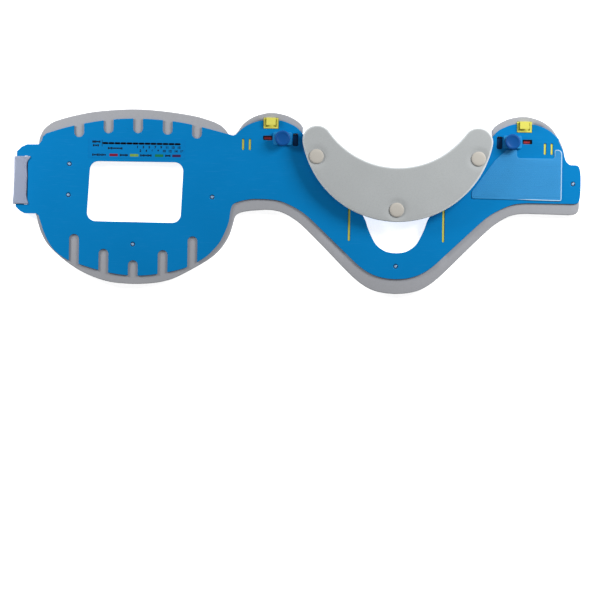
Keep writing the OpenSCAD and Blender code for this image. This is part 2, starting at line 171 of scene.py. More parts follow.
def new_group(
    name: str,
    inputs: Sequence[tuple[str, str]],
    outputs: Sequence[tuple[str, str]],
    kind: str = "ShaderNodeTree",
) -> tuple[Graph, bpy.types.Node, bpy.types.Node]:
    """Makes an empty node group with named sockets.

    Args:
        name: The group's name.
        inputs: Each input's name and socket type.
        outputs: Each output's name and socket type.
        kind: The type of tree.

    Returns:
        The group's graph, its input node and its output node.
    """
    tree = bpy.data.node_groups.new(name, kind)
    for label, socket in inputs:
        tree.interface.new_socket(label, in_out="INPUT", socket_type=socket)
    for label, socket in outputs:
        tree.interface.new_socket(label, in_out="OUTPUT", socket_type=socket)
    graph = Graph(tree)
    return graph, graph.add("NodeGroupInput"), graph.add("NodeGroupOutput")


NUMBER = "NodeSocketFloat"
VECTOR = "NodeSocketVector"
HUE = "NodeSocketColor"


class Effects:
    """The shader groups that several finishes share, each built when it is first asked for."""

    _made: dict[str, bpy.types.NodeTree] = {}

    @classmethod
    def get(cls, name: str) -> bpy.types.NodeTree:
        """Gives a shared group.

        Args:
            name: The group's name, which is also the name of the method that builds it.

        Returns:
            The group, built once.
        """
        if name not in cls._made:
            cls._made[name] = getattr(cls, name)()
        return cls._made[name]

    @staticmethod
    def moulded_grain() -> bpy.types.NodeTree:
        """Builds the fine pebbled grain of moulded plastic.

        Returns:
            The group, which gives a height.
        """
        cell_share = 1.7
        graph, given, out = new_group(
            "moulded_grain", [("Vector", VECTOR), ("Scale", NUMBER)], [("Height", NUMBER)]
        )
        noise = graph.add("ShaderNodeTexNoise", {"Detail": 3.0, "Roughness": 0.6})
        cells = graph.add("ShaderNodeTexVoronoi")
        graph.join(given.outputs["Vector"], noise.inputs["Vector"])
        graph.join(given.outputs["Vector"], cells.inputs["Vector"])
        graph.join(given.outputs["Scale"], noise.inputs["Scale"])
        graph.join(graph.maths("MULTIPLY", given.outputs["Scale"], cell_share), cells.inputs["Scale"])
        graph.join(graph.maths("ADD", noise.outputs[0], cells.outputs["Distance"]), out.inputs["Height"])
        return graph.tree

    @staticmethod
    def colour_drift() -> bpy.types.NodeTree:
        """Builds slow lighter and darker patches in one colour.

        Returns:
            The group, which gives the colour and the mask of its patches.
        """
        graph, given, out = new_group(
            "colour_drift",
            [("Vector", VECTOR), ("Colour", HUE), ("Scale", NUMBER), ("Amount", NUMBER)],
            [("Colour", HUE), ("Mask", NUMBER)],
        )
        noise = graph.add("ShaderNodeTexNoise", {"Detail": 2.0})
        graph.join(given.outputs["Vector"], noise.inputs["Vector"])
        graph.join(given.outputs["Scale"], noise.inputs["Scale"])
        centred = graph.maths("SUBTRACT", noise.outputs[0], 0.5)
        swing = graph.maths("MULTIPLY", centred, given.outputs["Amount"])
        scale = graph.add("ShaderNodeVectorMath", operation="SCALE")
        graph.join(given.outputs["Colour"], scale.inputs[0])
        graph.join(graph.maths("ADD", 1.0, swing), scale.inputs["Scale"])
        graph.join(scale.outputs[0], out.inputs["Colour"])
        graph.join(noise.outputs[0], out.inputs["Mask"])
        return graph.tree

    @staticmethod
    def fine_scuffs() -> bpy.types.NodeTree:
        """Builds sparse hair-thin scratches in two directions.

        Returns:
            The group, which gives the scratches' mask.
        """
        directions = ((0.5, 55.0), (-0.9, 70.0))
        stretch = 26.0
        graph, given, out = new_group("fine_scuffs", [("Vector", VECTOR)], [("Mask", NUMBER)])
        masks = []
        for turn, scale in directions:
            place = graph.add(
                "ShaderNodeMapping", {"Rotation": (0.0, 0.0, turn), "Scale": (1.0, stretch, 1.0)}
            )
            noise = graph.add("ShaderNodeTexNoise", {"Scale": scale, "Detail": 1.0})
            graph.join(given.outputs[0], place.inputs["Vector"])
            graph.join(place.outputs[0], noise.inputs["Vector"])
            step = graph.add("ShaderNodeMapRange", {"From Min": 0.66, "From Max": 0.74})
            graph.join(noise.outputs[0], step.inputs["Value"])
            masks.append(step.outputs[0])
        graph.join(graph.maths("MAXIMUM", *masks), out.inputs["Mask"])
        return graph.tree

    @staticmethod
    def foam_cells() -> bpy.types.NodeTree:
        """Builds the fine pores of closed-cell foam, with a slow swell under them.

        Returns:
            The group, which gives a height and a speckle.
        """
        dust_share, dust_height = 0.35, 0.8
        graph, given, out = new_group(
            "foam_cells",
            [("Vector", VECTOR), ("Scale", NUMBER)],
            [("Height", NUMBER), ("Speckle", NUMBER)],
        )
        pores = graph.add("ShaderNodeTexVoronoi", feature="SMOOTH_F1")
        dust = graph.add("ShaderNodeTexNoise", {"Detail": 4.0, "Roughness": 0.7})
        for node in (pores, dust):
            graph.join(given.outputs["Vector"], node.inputs["Vector"])
        graph.join(given.outputs["Scale"], pores.inputs["Scale"])
        graph.join(graph.maths("MULTIPLY", given.outputs["Scale"], dust_share), dust.inputs["Scale"])
        raised = graph.maths("MULTIPLY", dust.outputs[0], dust_height)
        graph.join(graph.maths("ADD", pores.outputs["Distance"], raised), out.inputs["Height"])
        graph.join(dust.outputs[0], out.inputs["Speckle"])
        return graph.tree

    @staticmethod
    def tape_weave() -> bpy.types.NodeTree:
        """Builds a plain weave along a strap's own length and width.

        Returns:
            The group, which gives a height and a shade.
        """
        graph, given, out = new_group(
            "tape_weave",
            [("Vector", VECTOR), ("Pitch", NUMBER)],
            [("Height", NUMBER), ("Shade", NUMBER)],
        )
        parts = graph.add("ShaderNodeSeparateXYZ")
        graph.join(given.outputs["Vector"], parts.inputs[0])
        waves = []
        for axis in (0, 1):
            turns = graph.maths("DIVIDE", parts.outputs[axis], given.outputs["Pitch"])
            waves.append(graph.maths("SINE", graph.maths("MULTIPLY", turns, math.tau)))
        over = graph.maths("MULTIPLY", *waves)
        graph.join(over, out.inputs["Height"])
        graph.join(graph.maths("MULTIPLY_ADD", over, 0.5), out.inputs["Shade"])
        return graph.tree


# ---- Finishes ----


@dataclass(frozen=True)
class Finish:
    """One surface finish. Its colour is linear, and its lengths are millimetres."""

    name: str
    colour: Colour
    roughness: float = 0.5

    def start(self) -> tuple[bpy.types.Material, Graph, bpy.types.Node, bpy.types.NodeSocket]:
        """Makes the material.

        Returns:
            The material, its graph, its shader and the position that patterns follow.
        """
        material = bpy.data.materials.new(self.name)
        material.use_nodes = True
        material.diffuse_color = (*self.colour, 1.0)
        graph = Graph(material.node_tree)
        shader = material.node_tree.nodes["Principled BSDF"]
        shader.inputs["Base Color"].default_value = (*self.colour, 1.0)
        shader.inputs["Roughness"].default_value = self.roughness
        return material, graph, shader, graph.add("ShaderNodeTexCoord").outputs["Object"]

    @staticmethod
    def effect(graph: Graph, name: str, values: dict[str, object]) -> bpy.types.Node:
        """Places a shared effect in a material.

        Args:
            graph: The material's graph.
            name: The effect's name.
            values: A socket or a value for each of its inputs.

        Returns:
            The group node.
        """
        node = graph.add("ShaderNodeGroup", node_tree=Effects.get(name))
        for label, value in values.items():
            if isinstance(value, bpy.types.NodeSocket):
                graph.join(value, node.inputs[label])
            elif isinstance(value, tuple):
                node.inputs[label].default_value = (*value, 1.0)
            else:
                node.inputs[label].default_value = value
        return node

    def patches(
        self, graph: Graph, place: bpy.types.NodeSocket, colour: object, scale: float, amount: float
    ) -> bpy.types.Node:
        """Places slow patches of lighter and darker colour in a material.

        Args:
            graph: The material's graph.
            place: The position that the patches follow.
            colour: The colour or the socket that gives it.
            scale: How many patches there are to a metre.
            amount: How strongly they differ.

        Returns:
            The group node.
        """
        values = {"Vector": place, "Colour": colour, "Scale": scale, "Amount": amount}
        return self.effect(graph, "colour_drift", values)

    @staticmethod
    def bump(graph: Graph, shader: bpy.types.Node, height: bpy.types.NodeSocket, depth: float) -> None:
        """Raises the surface.

        Args:
            graph: The material's graph.
            shader: The shader whose normal is tilted.
            height: The socket that gives the height, from 0 to about 1.
            depth: How many millimetres a height of 1 stands for.
        """
        node = graph.add("ShaderNodeBump", {"Strength": 1.0, "Distance": depth * MM})
        graph.join(height, node.inputs["Height"])
        graph.join(node.outputs[0], shader.inputs["Normal"])

    def make(self) -> bpy.types.Material:
        """Builds the plain finish."""
        return self.start()[0]


@dataclass(frozen=True)
class Plastic(Finish):
    """Moulded plastic with grain, slow drift of its colour, and fine scuffs."""

    grain: float = 0.7
    depth: float = 0.02
    drift: float = 0.14
    coat: float = 0.0
    coat_roughness: float = 0.2
    specular: float = 0.15
    patch_scale: float = 16.0
    patch_roughness: float = 0.1
    scuff_colour: float = 0.35
    scuff_roughness: float = 0.12

    def make(self) -> bpy.types.Material:
        """Builds the plastic.

        Returns:
            The material.
        """
        material, graph, shader, place = self.start()
        drift = self.patches(graph, place, self.colour, self.patch_scale, self.drift)
        scuffs = self.effect(graph, "fine_scuffs", {"Vector": place})
        pale = tuple(min(1.0, c * 1.12 + 0.012) for c in self.colour)
        faint = graph.maths("MULTIPLY", scuffs.outputs[0], self.scuff_colour)
        graph.join(graph.mix(faint, drift.outputs["Colour"], pale), shader.inputs["Base Color"])
        worn = graph.maths("MULTIPLY", scuffs.outputs[0], self.scuff_roughness)
        patchy = graph.maths("MULTIPLY", drift.outputs["Mask"], self.patch_roughness)
        smoothest = self.roughness - self.patch_roughness / 2
        rough = graph.maths("ADD", graph.maths("ADD", worn, patchy), smoothest)
        graph.join(rough, shader.inputs["Roughness"])
        grain = self.effect(graph, "moulded_grain", {"Vector": place, "Scale": 1.0 / (self.grain * MM)})
        self.bump(graph, shader, grain.outputs["Height"], self.depth)
        shader.inputs["Specular IOR Level"].default_value = self.specular
        shader.inputs["Coat Weight"].default_value = self.coat
        shader.inputs["Coat Roughness"].default_value = self.coat_roughness
        return material


@dataclass(frozen=True)
class Foam(Finish):
    """Closed-cell foam with a brushed skin."""

    cell: float = 0.55
    depth: float = 0.12
    speckle: float = 0.16
    cut_brightness: float = 1.5
    sheen: float = 0.25
    specular: float = 0.25

    def make(self) -> bpy.types.Material:
        """Builds the foam. The attribute rim is 1 on a slab's side wall and fades to 0 over its rounded edge;
        there the colour is lightened as a painted highlight.

        Returns:
            The material.
        """
        material, graph, shader, place = self.start()
        drift = self.patches(graph, place, self.colour, 22.0, 0.12)
        cells = self.effect(graph, "foam_cells", {"Vector": place, "Scale": 1.0 / (self.cell * MM)})
        dark = tuple(c * (1.0 - self.speckle) for c in self.colour)
        specks = graph.add("ShaderNodeMapRange", {"From Min": 0.45, "From Max": 0.62})
        graph.join(cells.outputs["Speckle"], specks.inputs["Value"])
        skin = graph.mix(specks.outputs[0], drift.outputs["Colour"], dark)
        # Painted highlight: where the rim attribute is set, the side walls and rounded edges are lightened.
        rim = graph.add("ShaderNodeAttribute", attribute_name="rim").outputs["Fac"]
        cut = tuple(min(1.0, c * self.cut_brightness) for c in self.colour)
        graph.join(graph.mix(rim, skin, cut), shader.inputs["Base Color"])
        self.bump(graph, shader, cells.outputs["Height"], self.depth)
        shader.inputs["Sheen Weight"].default_value = self.sheen
        shader.inputs["Sheen Roughness"].default_value = 0.6
        shader.inputs["Specular IOR Level"].default_value = self.specular
        return material


@dataclass(frozen=True)
class Webbing(Finish):
    """Woven tape, whose weave follows the piece's UV map in metres."""

    pitch: float = 1.6
    depth: float = 0.18
    shade: float = 0.72
    sheen: float = 0.4

    def make(self) -> bpy.types.Material:
        """Builds the tape.

        Returns:
            The material.
        """
        material, graph, shader, _ = self.start()
        along = graph.add("ShaderNodeUVMap", uv_map="strap").outputs[0]
        weave = self.effect(graph, "tape_weave", {"Vector": along, "Pitch": self.pitch * MM})
        dark = tuple(c * self.shade for c in self.colour)
        graph.join(graph.mix(weave.outputs["Shade"], self.colour, dark), shader.inputs["Base Color"])
        self.bump(graph, shader, weave.outputs["Height"], self.depth)
        shader.inputs["Sheen Weight"].default_value = self.sheen
        return material


@dataclass(frozen=True)
class Ink(Finish):
    """Pad-printed ink with small flaws."""

    specular: float = 0.1

    def make(self) -> bpy.types.Material:
        """Builds the ink.

        Returns:
            The material.
        """
        material, graph, shader, place = self.start()
        drift = self.patches(graph, place, self.colour, 400.0, 0.5)
        graph.join(drift.outputs["Colour"], shader.inputs["Base Color"])
        shader.inputs["Specular IOR Level"].default_value = self.specular
        return material


@dataclass(frozen=True)
class BandedFilm(Finish):
    """The size strip's film: one band of colour for each group of settings."""

    bands: tuple[Colour, ...] = ()
    top: float = 0.0
    middle: float = 0.0
    band_length: float = 12.4
    cell: Point2 = (6.8, 2.2)
    pitch: float = 3.1
    first_cell: float = 3.6
    gap_colour: Colour = (0.02, 0.004, 0.008)

    def make(self) -> bpy.types.Material:
        """Builds the film: near black, with one coloured cell for each setting; the near black round each
        cell is painted shade along the size window's edges.

        Returns:
            The material.
        """
        material, graph, shader, place = self.start()
        parts = graph.add("ShaderNodeSeparateXYZ")
        graph.join(place, parts.inputs[0])
        down = graph.maths("SUBTRACT", self.top * MM, parts.outputs[1])
        colour: object = self.bands[0]
        for place_in_row, band in enumerate(self.bands[1:], start=1):
            past = graph.maths("GREATER_THAN", down, place_in_row * self.band_length * MM)
            colour = graph.mix(past, colour, band)
        drift = self.patches(graph, place, colour, 90.0, 0.2)
        half_width, half_height = (size / 2 * MM for size in self.cell)
        aside = graph.maths("ABSOLUTE", graph.maths("SUBTRACT", parts.outputs[0], self.middle * MM))
        from_first = graph.maths("SUBTRACT", down, (self.first_cell - self.pitch / 2) * MM)
        in_row = graph.maths("FLOORED_MODULO", from_first, self.pitch * MM)
        in_cell = graph.maths("SUBTRACT", in_row, self.pitch / 2 * MM)
        beside = graph.maths("GREATER_THAN", aside, half_width)
        between = graph.maths("GREATER_THAN", graph.maths("ABSOLUTE", in_cell), half_height)
        # Near black round each cell: painted shade along the window's edges.
        outside = graph.maths("MAXIMUM", beside, between)
        graph.join(graph.mix(outside, drift.outputs["Colour"], self.gap_colour), shader.inputs["Base Color"])
        return material


@dataclass(frozen=True)
class RivetPlastic(Plastic):
    """A two-part push rivet: a pale cap on the foam and a glossy blue stud through the shell. The stud's dark
    navy also stands for painted shade in the shell's countersink, and its tip is painted lighter as a
    highlight.
    """

    stud: Colour = (0.0, 0.0, 0.0)
    stud_tip: Colour = (0.0, 0.0, 0.0)
    joint_z: float = 6.0
    tip_z: float = 9.8

    def make(self) -> bpy.types.Material:
        """Builds the two plastics, which meet at one height.

        Returns:
            The material.
        """
        material = super().make()
        graph = Graph(material.node_tree)
        shader = material.node_tree.nodes["Principled BSDF"]
        parts = graph.add("ShaderNodeSeparateXYZ")
        graph.join(graph.add("ShaderNodeTexCoord").outputs["Object"], parts.inputs[0])
        above = graph.maths("GREATER_THAN", parts.outputs[2], self.joint_z * MM)
        pale = shader.inputs["Base Color"].links[0].from_socket
        # Above the tip height the stud turns lighter: a painted highlight on its dome. Its dark navy below
        # also stands for painted shade in the countersink ring.
        in_painted_highlight = graph.maths("GREATER_THAN", parts.outputs[2], self.tip_z * MM)
        stud = graph.mix(in_painted_highlight, self.stud, self.stud_tip)
        graph.join(graph.mix(above, pale, stud), shader.inputs["Base Color"])
        return material


BLUE: Colour = (0.0005, 0.195, 0.5)
FINISHES: dict[str, Finish] = {
    finish.name: finish
    for finish in (
        Plastic("shell_blue", BLUE, 0.42, grain=0.9, depth=0.012, drift=0.16, specular=0.08),
        Plastic("adjuster_blue", (0.02, 0.27, 0.62), 0.38, grain=0.6, depth=0.01),
        # The slide's own dark navy is darkened further to stand for painted shade in the opening over it.
        Plastic("slide_blue_and_shade", (0.001, 0.05, 0.16), 0.5, grain=0.6, depth=0.01),
        Plastic("button_blue", (0.003, 0.075, 0.29), 0.42, grain=0.5, depth=0.02),
        Plastic("guide_yellow", (0.7, 0.66, 0.12), 0.4, grain=0.5, depth=0.01),
        Plastic("rivet_beige", (0.49, 0.465, 0.42), 0.5, grain=0.8, depth=0.02),
        RivetPlastic(
            "rivet_two_part", (0.44, 0.415, 0.37), 0.2, grain=0.8, depth=0.004, coat=0.8,
            # Dark stud colour: the stud's navy, also standing for painted shade in the countersink; light tip
            # colour: painted highlight.
            stud=(0.001, 0.03, 0.1), stud_tip=(0.24, 0.4, 0.6),
        ),
        Plastic("label_blue", (0.001, 0.19, 0.5), 0.34, 1.4, 0.004, 0.08, specular=0.1),
        Foam("foam_grey", (0.355, 0.363, 0.39), 0.85, cell=0.45, depth=0.035, speckle=0.06),
        Foam("chin_grey", (0.41, 0.43, 0.435), 0.85, cell=0.4, depth=0.035, speckle=0.07),
        Plastic("loop_blue", (0.036, 0.27, 0.58), 0.5, grain=1.1, depth=0.05, drift=0.1),
        # Pale bead colour: a painted highlight along the fastening pad's lit edges.
        Plastic("bead_painted_highlight", (0.42, 0.62, 0.8), 0.25, grain=0.6, depth=0.004, coat=0.5),
        Webbing("strap_grey", (0.36, 0.41, 0.56), 0.7),
        Plastic("pin_steel", (0.55, 0.56, 0.57), 0.3, 0.4, 0.002, 0.05, specular=0.6),
        Ink("ink_black", (0.006, 0.007, 0.013), 0.5),
        Ink("ink_red", (0.2, 0.008, 0.03), 0.5),
        Ink("ink_lime", (0.2, 0.35, 0.07), 0.5),
        Ink("ink_green", (0.012, 0.17, 0.07), 0.5),
        Ink("ink_violet", (0.045, 0.018, 0.08), 0.5),
        Ink("thread_white", (0.6, 0.62, 0.66), 0.7),
    )
}
STRIP_BANDS: tuple[Colour, ...] = (
    (0.55, 0.02, 0.035), (0.5, 0.6, 0.13), (0.03, 0.28, 0.12), (0.09, 0.05, 0.2),
)
_materials: dict[str, bpy.types.Material] = {}


def finish_material(name: str) -> bpy.types.Material:
    """Gives the material of a finish.

    Args:
        name: The finish's name.

    Returns:
        Its material, made once.
    """
    if name not in _materials:
        _materials[name] = FINISHES[name].make()
    return _materials[name]


# ---- Meshes ----


def mesh_object(name: str, shape: bmesh.types.BMesh, finish: str, smooth: bool = True) -> bpy.types.Object:
    """Turns a finished shape into an object of the scene.

    Args:
        name: The piece's name.
        shape: The shape in metres, which is freed.
        finish: The name of its finish.
        smooth: Whether its faces are shaded smooth up to a sharp angle.

    Returns:
        The new object.
    """
    mesh = bpy.data.meshes.new(name)
    shape.to_mesh(mesh)
    shape.free()
    mesh.materials.append(finish_material(finish))
    piece = bpy.data.objects.new(name, mesh)
    bpy.context.scene.collection.objects.link(piece)
    if smooth:
        mesh.shade_smooth()
        mesh.set_sharp_from_angle(angle=SHARP_ANGLE)
    return piece


def merged_copy(node: str) -> bmesh.types.BMesh:
    """Copies a frame node's mesh, joins its loose triangles and melts its flat faces.

    Args:
        node: The frame node.

    Returns:
        The closed copy, in metres.
    """
    shape = bmesh.new()
    shape.from_mesh(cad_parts[node].data)
    bmesh.ops.remove_doubles(shape, verts=shape.verts, dist=SAME_POINT)
    bmesh.ops.dissolve_limit(shape, angle_limit=COPY_MELT, verts=shape.verts, edges=shape.edges)
    return shape


def solids(node: str) -> Iterator[tuple[Vector, Vector]]:
    """Gives the box of each separate solid in a frame node.

    Args:
        node: The frame node.

    Yields:
        Its lowest and its highest corner, in metres.
    """
    shape = merged_copy(node)
    left = set(shape.verts)
    while left:
        found, edge = set(), [left.pop()]
        while edge:
            vert = edge.pop()
            found.add(vert)
            near = {link.other_vert(vert) for link in vert.link_edges} & left
            left -= near
            edge.extend(near)
        corners = np.array([vert.co for vert in found])
        yield Vector(corners.min(0)), Vector(corners.max(0))
    shape.free()


def face_loops(node: str, top: bool) -> list[np.ndarray]:
    """Finds the outlines of a node's flat top or bottom face.

    Args:
        node: The frame node.
        top: Whether to take its top face and not its bottom one.

    Returns:
        Each outline as points in metres, the longest first.
    """
    low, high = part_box(node)
    level = high.z if top else low.z
    shape = bmesh.new()
    shape.from_mesh(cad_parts[node].data)
    bmesh.ops.remove_doubles(shape, verts=shape.verts, dist=SAME_POINT)
    flat = {f for f in shape.faces if all(abs(v.co.z - level) < SAME_LEVEL for v in f.verts)}
    ahead: dict[int, list[bmesh.types.BMVert]] = {}
    for face in flat:
        for loop in face.loops:
            if sum(f in flat for f in loop.edge.link_faces) == 1:
                ahead.setdefault(loop.vert.index, []).append(loop.link_loop_next.vert)
    outlines = []
    while ahead:
        first = next(iter(ahead))
        here, points = first, []
        while here in ahead:
            after = ahead[here].pop()
            if not ahead[here]:
                del ahead[here]
            points.append((after.co.x, after.co.y))
            here = after.index
        outlines.append(np.array(points))
    shape.free()
    return sorted(outlines, key=lambda p: -np.linalg.norm(p - np.roll(p, 1, 0), axis=1).sum())


def spaced(outline: np.ndarray, step: float) -> np.ndarray:
    """Walks round a closed outline anticlockwise in even steps.

    Args:
        outline: The outline's corners, in metres.
        step: About how far apart the new points are.

    Returns:
        The new points.
    """
    x, y = outline.T
    if (x * np.roll(y, -1) - np.roll(x, -1) * y).sum() < 0:
        outline = outline[::-1]
    closed = np.vstack([outline, outline[:1]])
    along = np.concatenate([[0.0], np.cumsum(np.linalg.norm(np.diff(closed, axis=0), axis=1))])
    count = max(12, round(along[-1] / step))
    at = np.linspace(0.0, along[-1], count, endpoint=False)
    return np.stack([np.interp(at, along, closed[:, k]) for k in (0, 1)], axis=1)


def inset(outline: np.ndarray, by: float) -> np.ndarray:
    """Moves an anticlockwise outline inwards by a short distance in metres.

    Args:
        outline: The outline's points.
        by: How far they move.

    Returns:
        The moved points.
    """
    ahead = np.roll(outline, -1, 0) - np.roll(outline, 1, 0)
    inward = np.stack([-ahead[:, 1], ahead[:, 0]], axis=1)
    return outline + by * inward / np.linalg.norm(inward, axis=1, keepdims=True)


def join_rings(shape: bmesh.types.BMesh, rings: Sequence[list[bmesh.types.BMVert]]) -> None:
    """Joins closed rings of corners with faces, from each ring to the next.

    Args:
        shape: The shape that the corners belong to.
        rings: The rings, all with the same number of corners.
    """
    for one, two in zip(rings, rings[1:]):
        for k in range(len(one)):
            after = (k + 1) % len(one)
            shape.faces.new((one[k], one[after], two[after], two[k]))


def close_tube(shape: bmesh.types.BMesh, rings: Sequence[list[bmesh.types.BMVert]]) -> None:
    """Joins rings into a tube with closed ends and turns its faces outwards.

    Args:
        shape: The shape that the corners belong to.
        rings: The rings along the tube.
    """
    join_rings(shape, rings)
    shape.faces.new(rings[0])
    shape.faces.new(rings[-1])
    bmesh.ops.recalc_face_normals(shape, faces=shape.faces)


def padded_slab(
    outline: np.ndarray,
    low: float,
    high: float,
    rounding: float,
    spacing: float,
    relief: Callable[[float, float], float],
) -> bmesh.types.BMesh:
    """Builds a soft flat slab with rounded edges and a top whose height follows a rule.

    Args:
        outline: Evenly spaced anticlockwise points in metres.
        low: Height of its underside.
        high: Height of its top.
        rounding: Radius of its edges.
        spacing: Distance between the points of its top.
        relief: How far the top rises above high at a place.

    Returns:
        The closed shape.
    """
    shape = bmesh.new()
    edge_highlight_layer = shape.verts.layers.float.new("rim")
    turns = [math.radians(a) for a in (0, 18, 36, 54, 72, 90)]
    levels = [(rounding * (1 - math.sin(a)), low + rounding * (1 - math.cos(a))) for a in turns]
    levels += [(gap, low + high - z) for gap, z in reversed(levels)]
    rows = []
    for gap, z in levels:
        ring = inset(outline, gap)
        share = max(0.0, (z - low) / (high - low) - 0.5) * 2
        rows.append([shape.verts.new((x, y, z + share * relief(x, y))) for x, y in ring])
        # Rim attribute: 1 on the side wall, falling to 0 across the rounded edge; the foam finish paints a
        # highlight where it is set.
        for vert in rows[-1]:
            vert[edge_highlight_layer] = 1.0 - (gap / rounding) ** 2
    join_rings(shape, rows)
    shape.faces.new(list(reversed(rows[0])))
    rim = inset(outline, rounding)
    inner = inset(outline, rounding + 0.7 * spacing)
    points = [Vector(p) for p in (*rim, *staggered(inner, rim, spacing, spacing * 0.87))]
    count = len(outline)
    edges = [(k, (k + 1) % count) for k in range(count)]
    flat, _, faces, origins, _, _ = delaunay_2d_cdt(points, edges, [], 1, 1e-7)
    top = []
    for place, sources in zip(flat, origins):
        known = [s for s in sources if s < count]
        if known:
            top.append(rows[-1][known[0]])
        else:
            top.append(shape.verts.new((place.x, place.y, high + relief(place.x, place.y))))
    for face in faces:
        corners = [top[k] for k in face]
        if len(set(corners)) == 3:
            shape.faces.new(corners)
    bmesh.ops.recalc_face_normals(shape, faces=shape.faces)
    return shape


def staggered(outline: np.ndarray, around: np.ndarray, step: float, row_step: float) -> Iterator[Point2]:
    """Fills an outline with points in rows, every other row moved along by half a step.

    Args:
        outline: The outline that the points lie inside.
        around: The points whose box the rows cover.
        step: The distance between the points of a row.
        row_step: The distance between rows.

    Yields:
        Each point.
    """
    low, high = around.min(0), around.max(0)
    for row, y in enumerate(np.arange(low[1], high[1], row_step)):
        for x in np.arange(low[0] + (row % 2) * step / 2, high[0], step):
            if inside(outline, x, y):
                yield x, y


def inside(outline: np.ndarray, x: float, y: float) -> bool:
    """Tells whether a point lies inside a closed outline.

    Args:
        outline: The outline's corners.
        x: The point's place across.
        y: Its place along.

    Returns:
        Whether it lies inside.
    """
    x0, y0 = outline.T
    x1, y1 = np.roll(x0, -1), np.roll(y0, -1)
    crosses = (y0 > y) != (y1 > y)
    with np.errstate(divide="ignore", invalid="ignore"):
        at = x0 + (y - y0) * (x1 - x0) / (y1 - y0)
    return bool((crosses & (x < at)).sum() % 2)


def lathe(profile: Sequence[Point2], sides: int = 40) -> bmesh.types.BMesh:
    """Turns a profile about Z.

    Args:
        profile: Points of radius and height in millimetres, with a radius of 0 at both ends.
        sides: The number of faces round it.

    Returns:
        The closed shape.
    """
    shape = bmesh.new()
    rows = []
    for radius, z in profile:
        if radius == 0:
            rows.append([shape.verts.new((0, 0, z * MM))])
            continue
        angles = [math.tau * k / sides for k in range(sides)]
        rows.append([
            shape.verts.new((radius * MM * math.cos(a), radius * MM * math.sin(a), z * MM)) for a in angles
        ])
    for below, above in zip(rows, rows[1:]):
        for k in range(sides):
            corners = [below[k % len(below)], below[(k + 1) % len(below)]]
            corners += [above[(k + 1) % len(above)], above[k % len(above)]]
            shape.faces.new(list(dict.fromkeys(corners)))
    bmesh.ops.recalc_face_normals(shape, faces=shape.faces)
    return shape


def bar(size: Point3, rounding: float = 0.0) -> bmesh.types.BMesh:
    """Makes a small bar about the origin.

    Args:
        size: Its three sides in millimetres.
        rounding: The width of its rounded edges.

    Returns:
        The bar.
    """
    shape = bmesh.new()
    bmesh.ops.create_cube(shape, size=1.0)
    bmesh.ops.scale(shape, vec=[s * MM for s in size], verts=shape.verts)
    if rounding:
        edges = shape.edges
        bmesh.ops.bevel(shape, geom=edges, offset=rounding * MM, segments=2, profile=0.5, affect="EDGES")
    return shape


def push_rivet(cap: float, tall: float) -> bmesh.types.BMesh:
    """Turns a push rivet: a domed cap below, a shank, and a domed stud end above.

    Args:
        cap: The radius of its cap in millimetres.
        tall: Its whole height.

    Returns:
        The rivet, with its cap's face at the origin.
    """
    return lathe([
        (0, 0.0), (cap * 0.5, 0.03), (cap * 0.8, 0.14), (cap * 0.95, 0.4), (cap, 0.75), (cap * 0.97, 1.05),
        (cap * 0.9, 1.2), (1.9, 1.25), (1.6, 1.6), (1.6, tall - 1.1), (2.5, tall - 0.75), (2.55, tall - 0.6),
        (2.2, tall - 0.55), (1.75, tall - 0.42), (1.5, tall - 0.26), (1.1, tall - 0.1), (0.6, tall - 0.02),
        (0, tall),
    ])


# ---- Repeated pieces ----


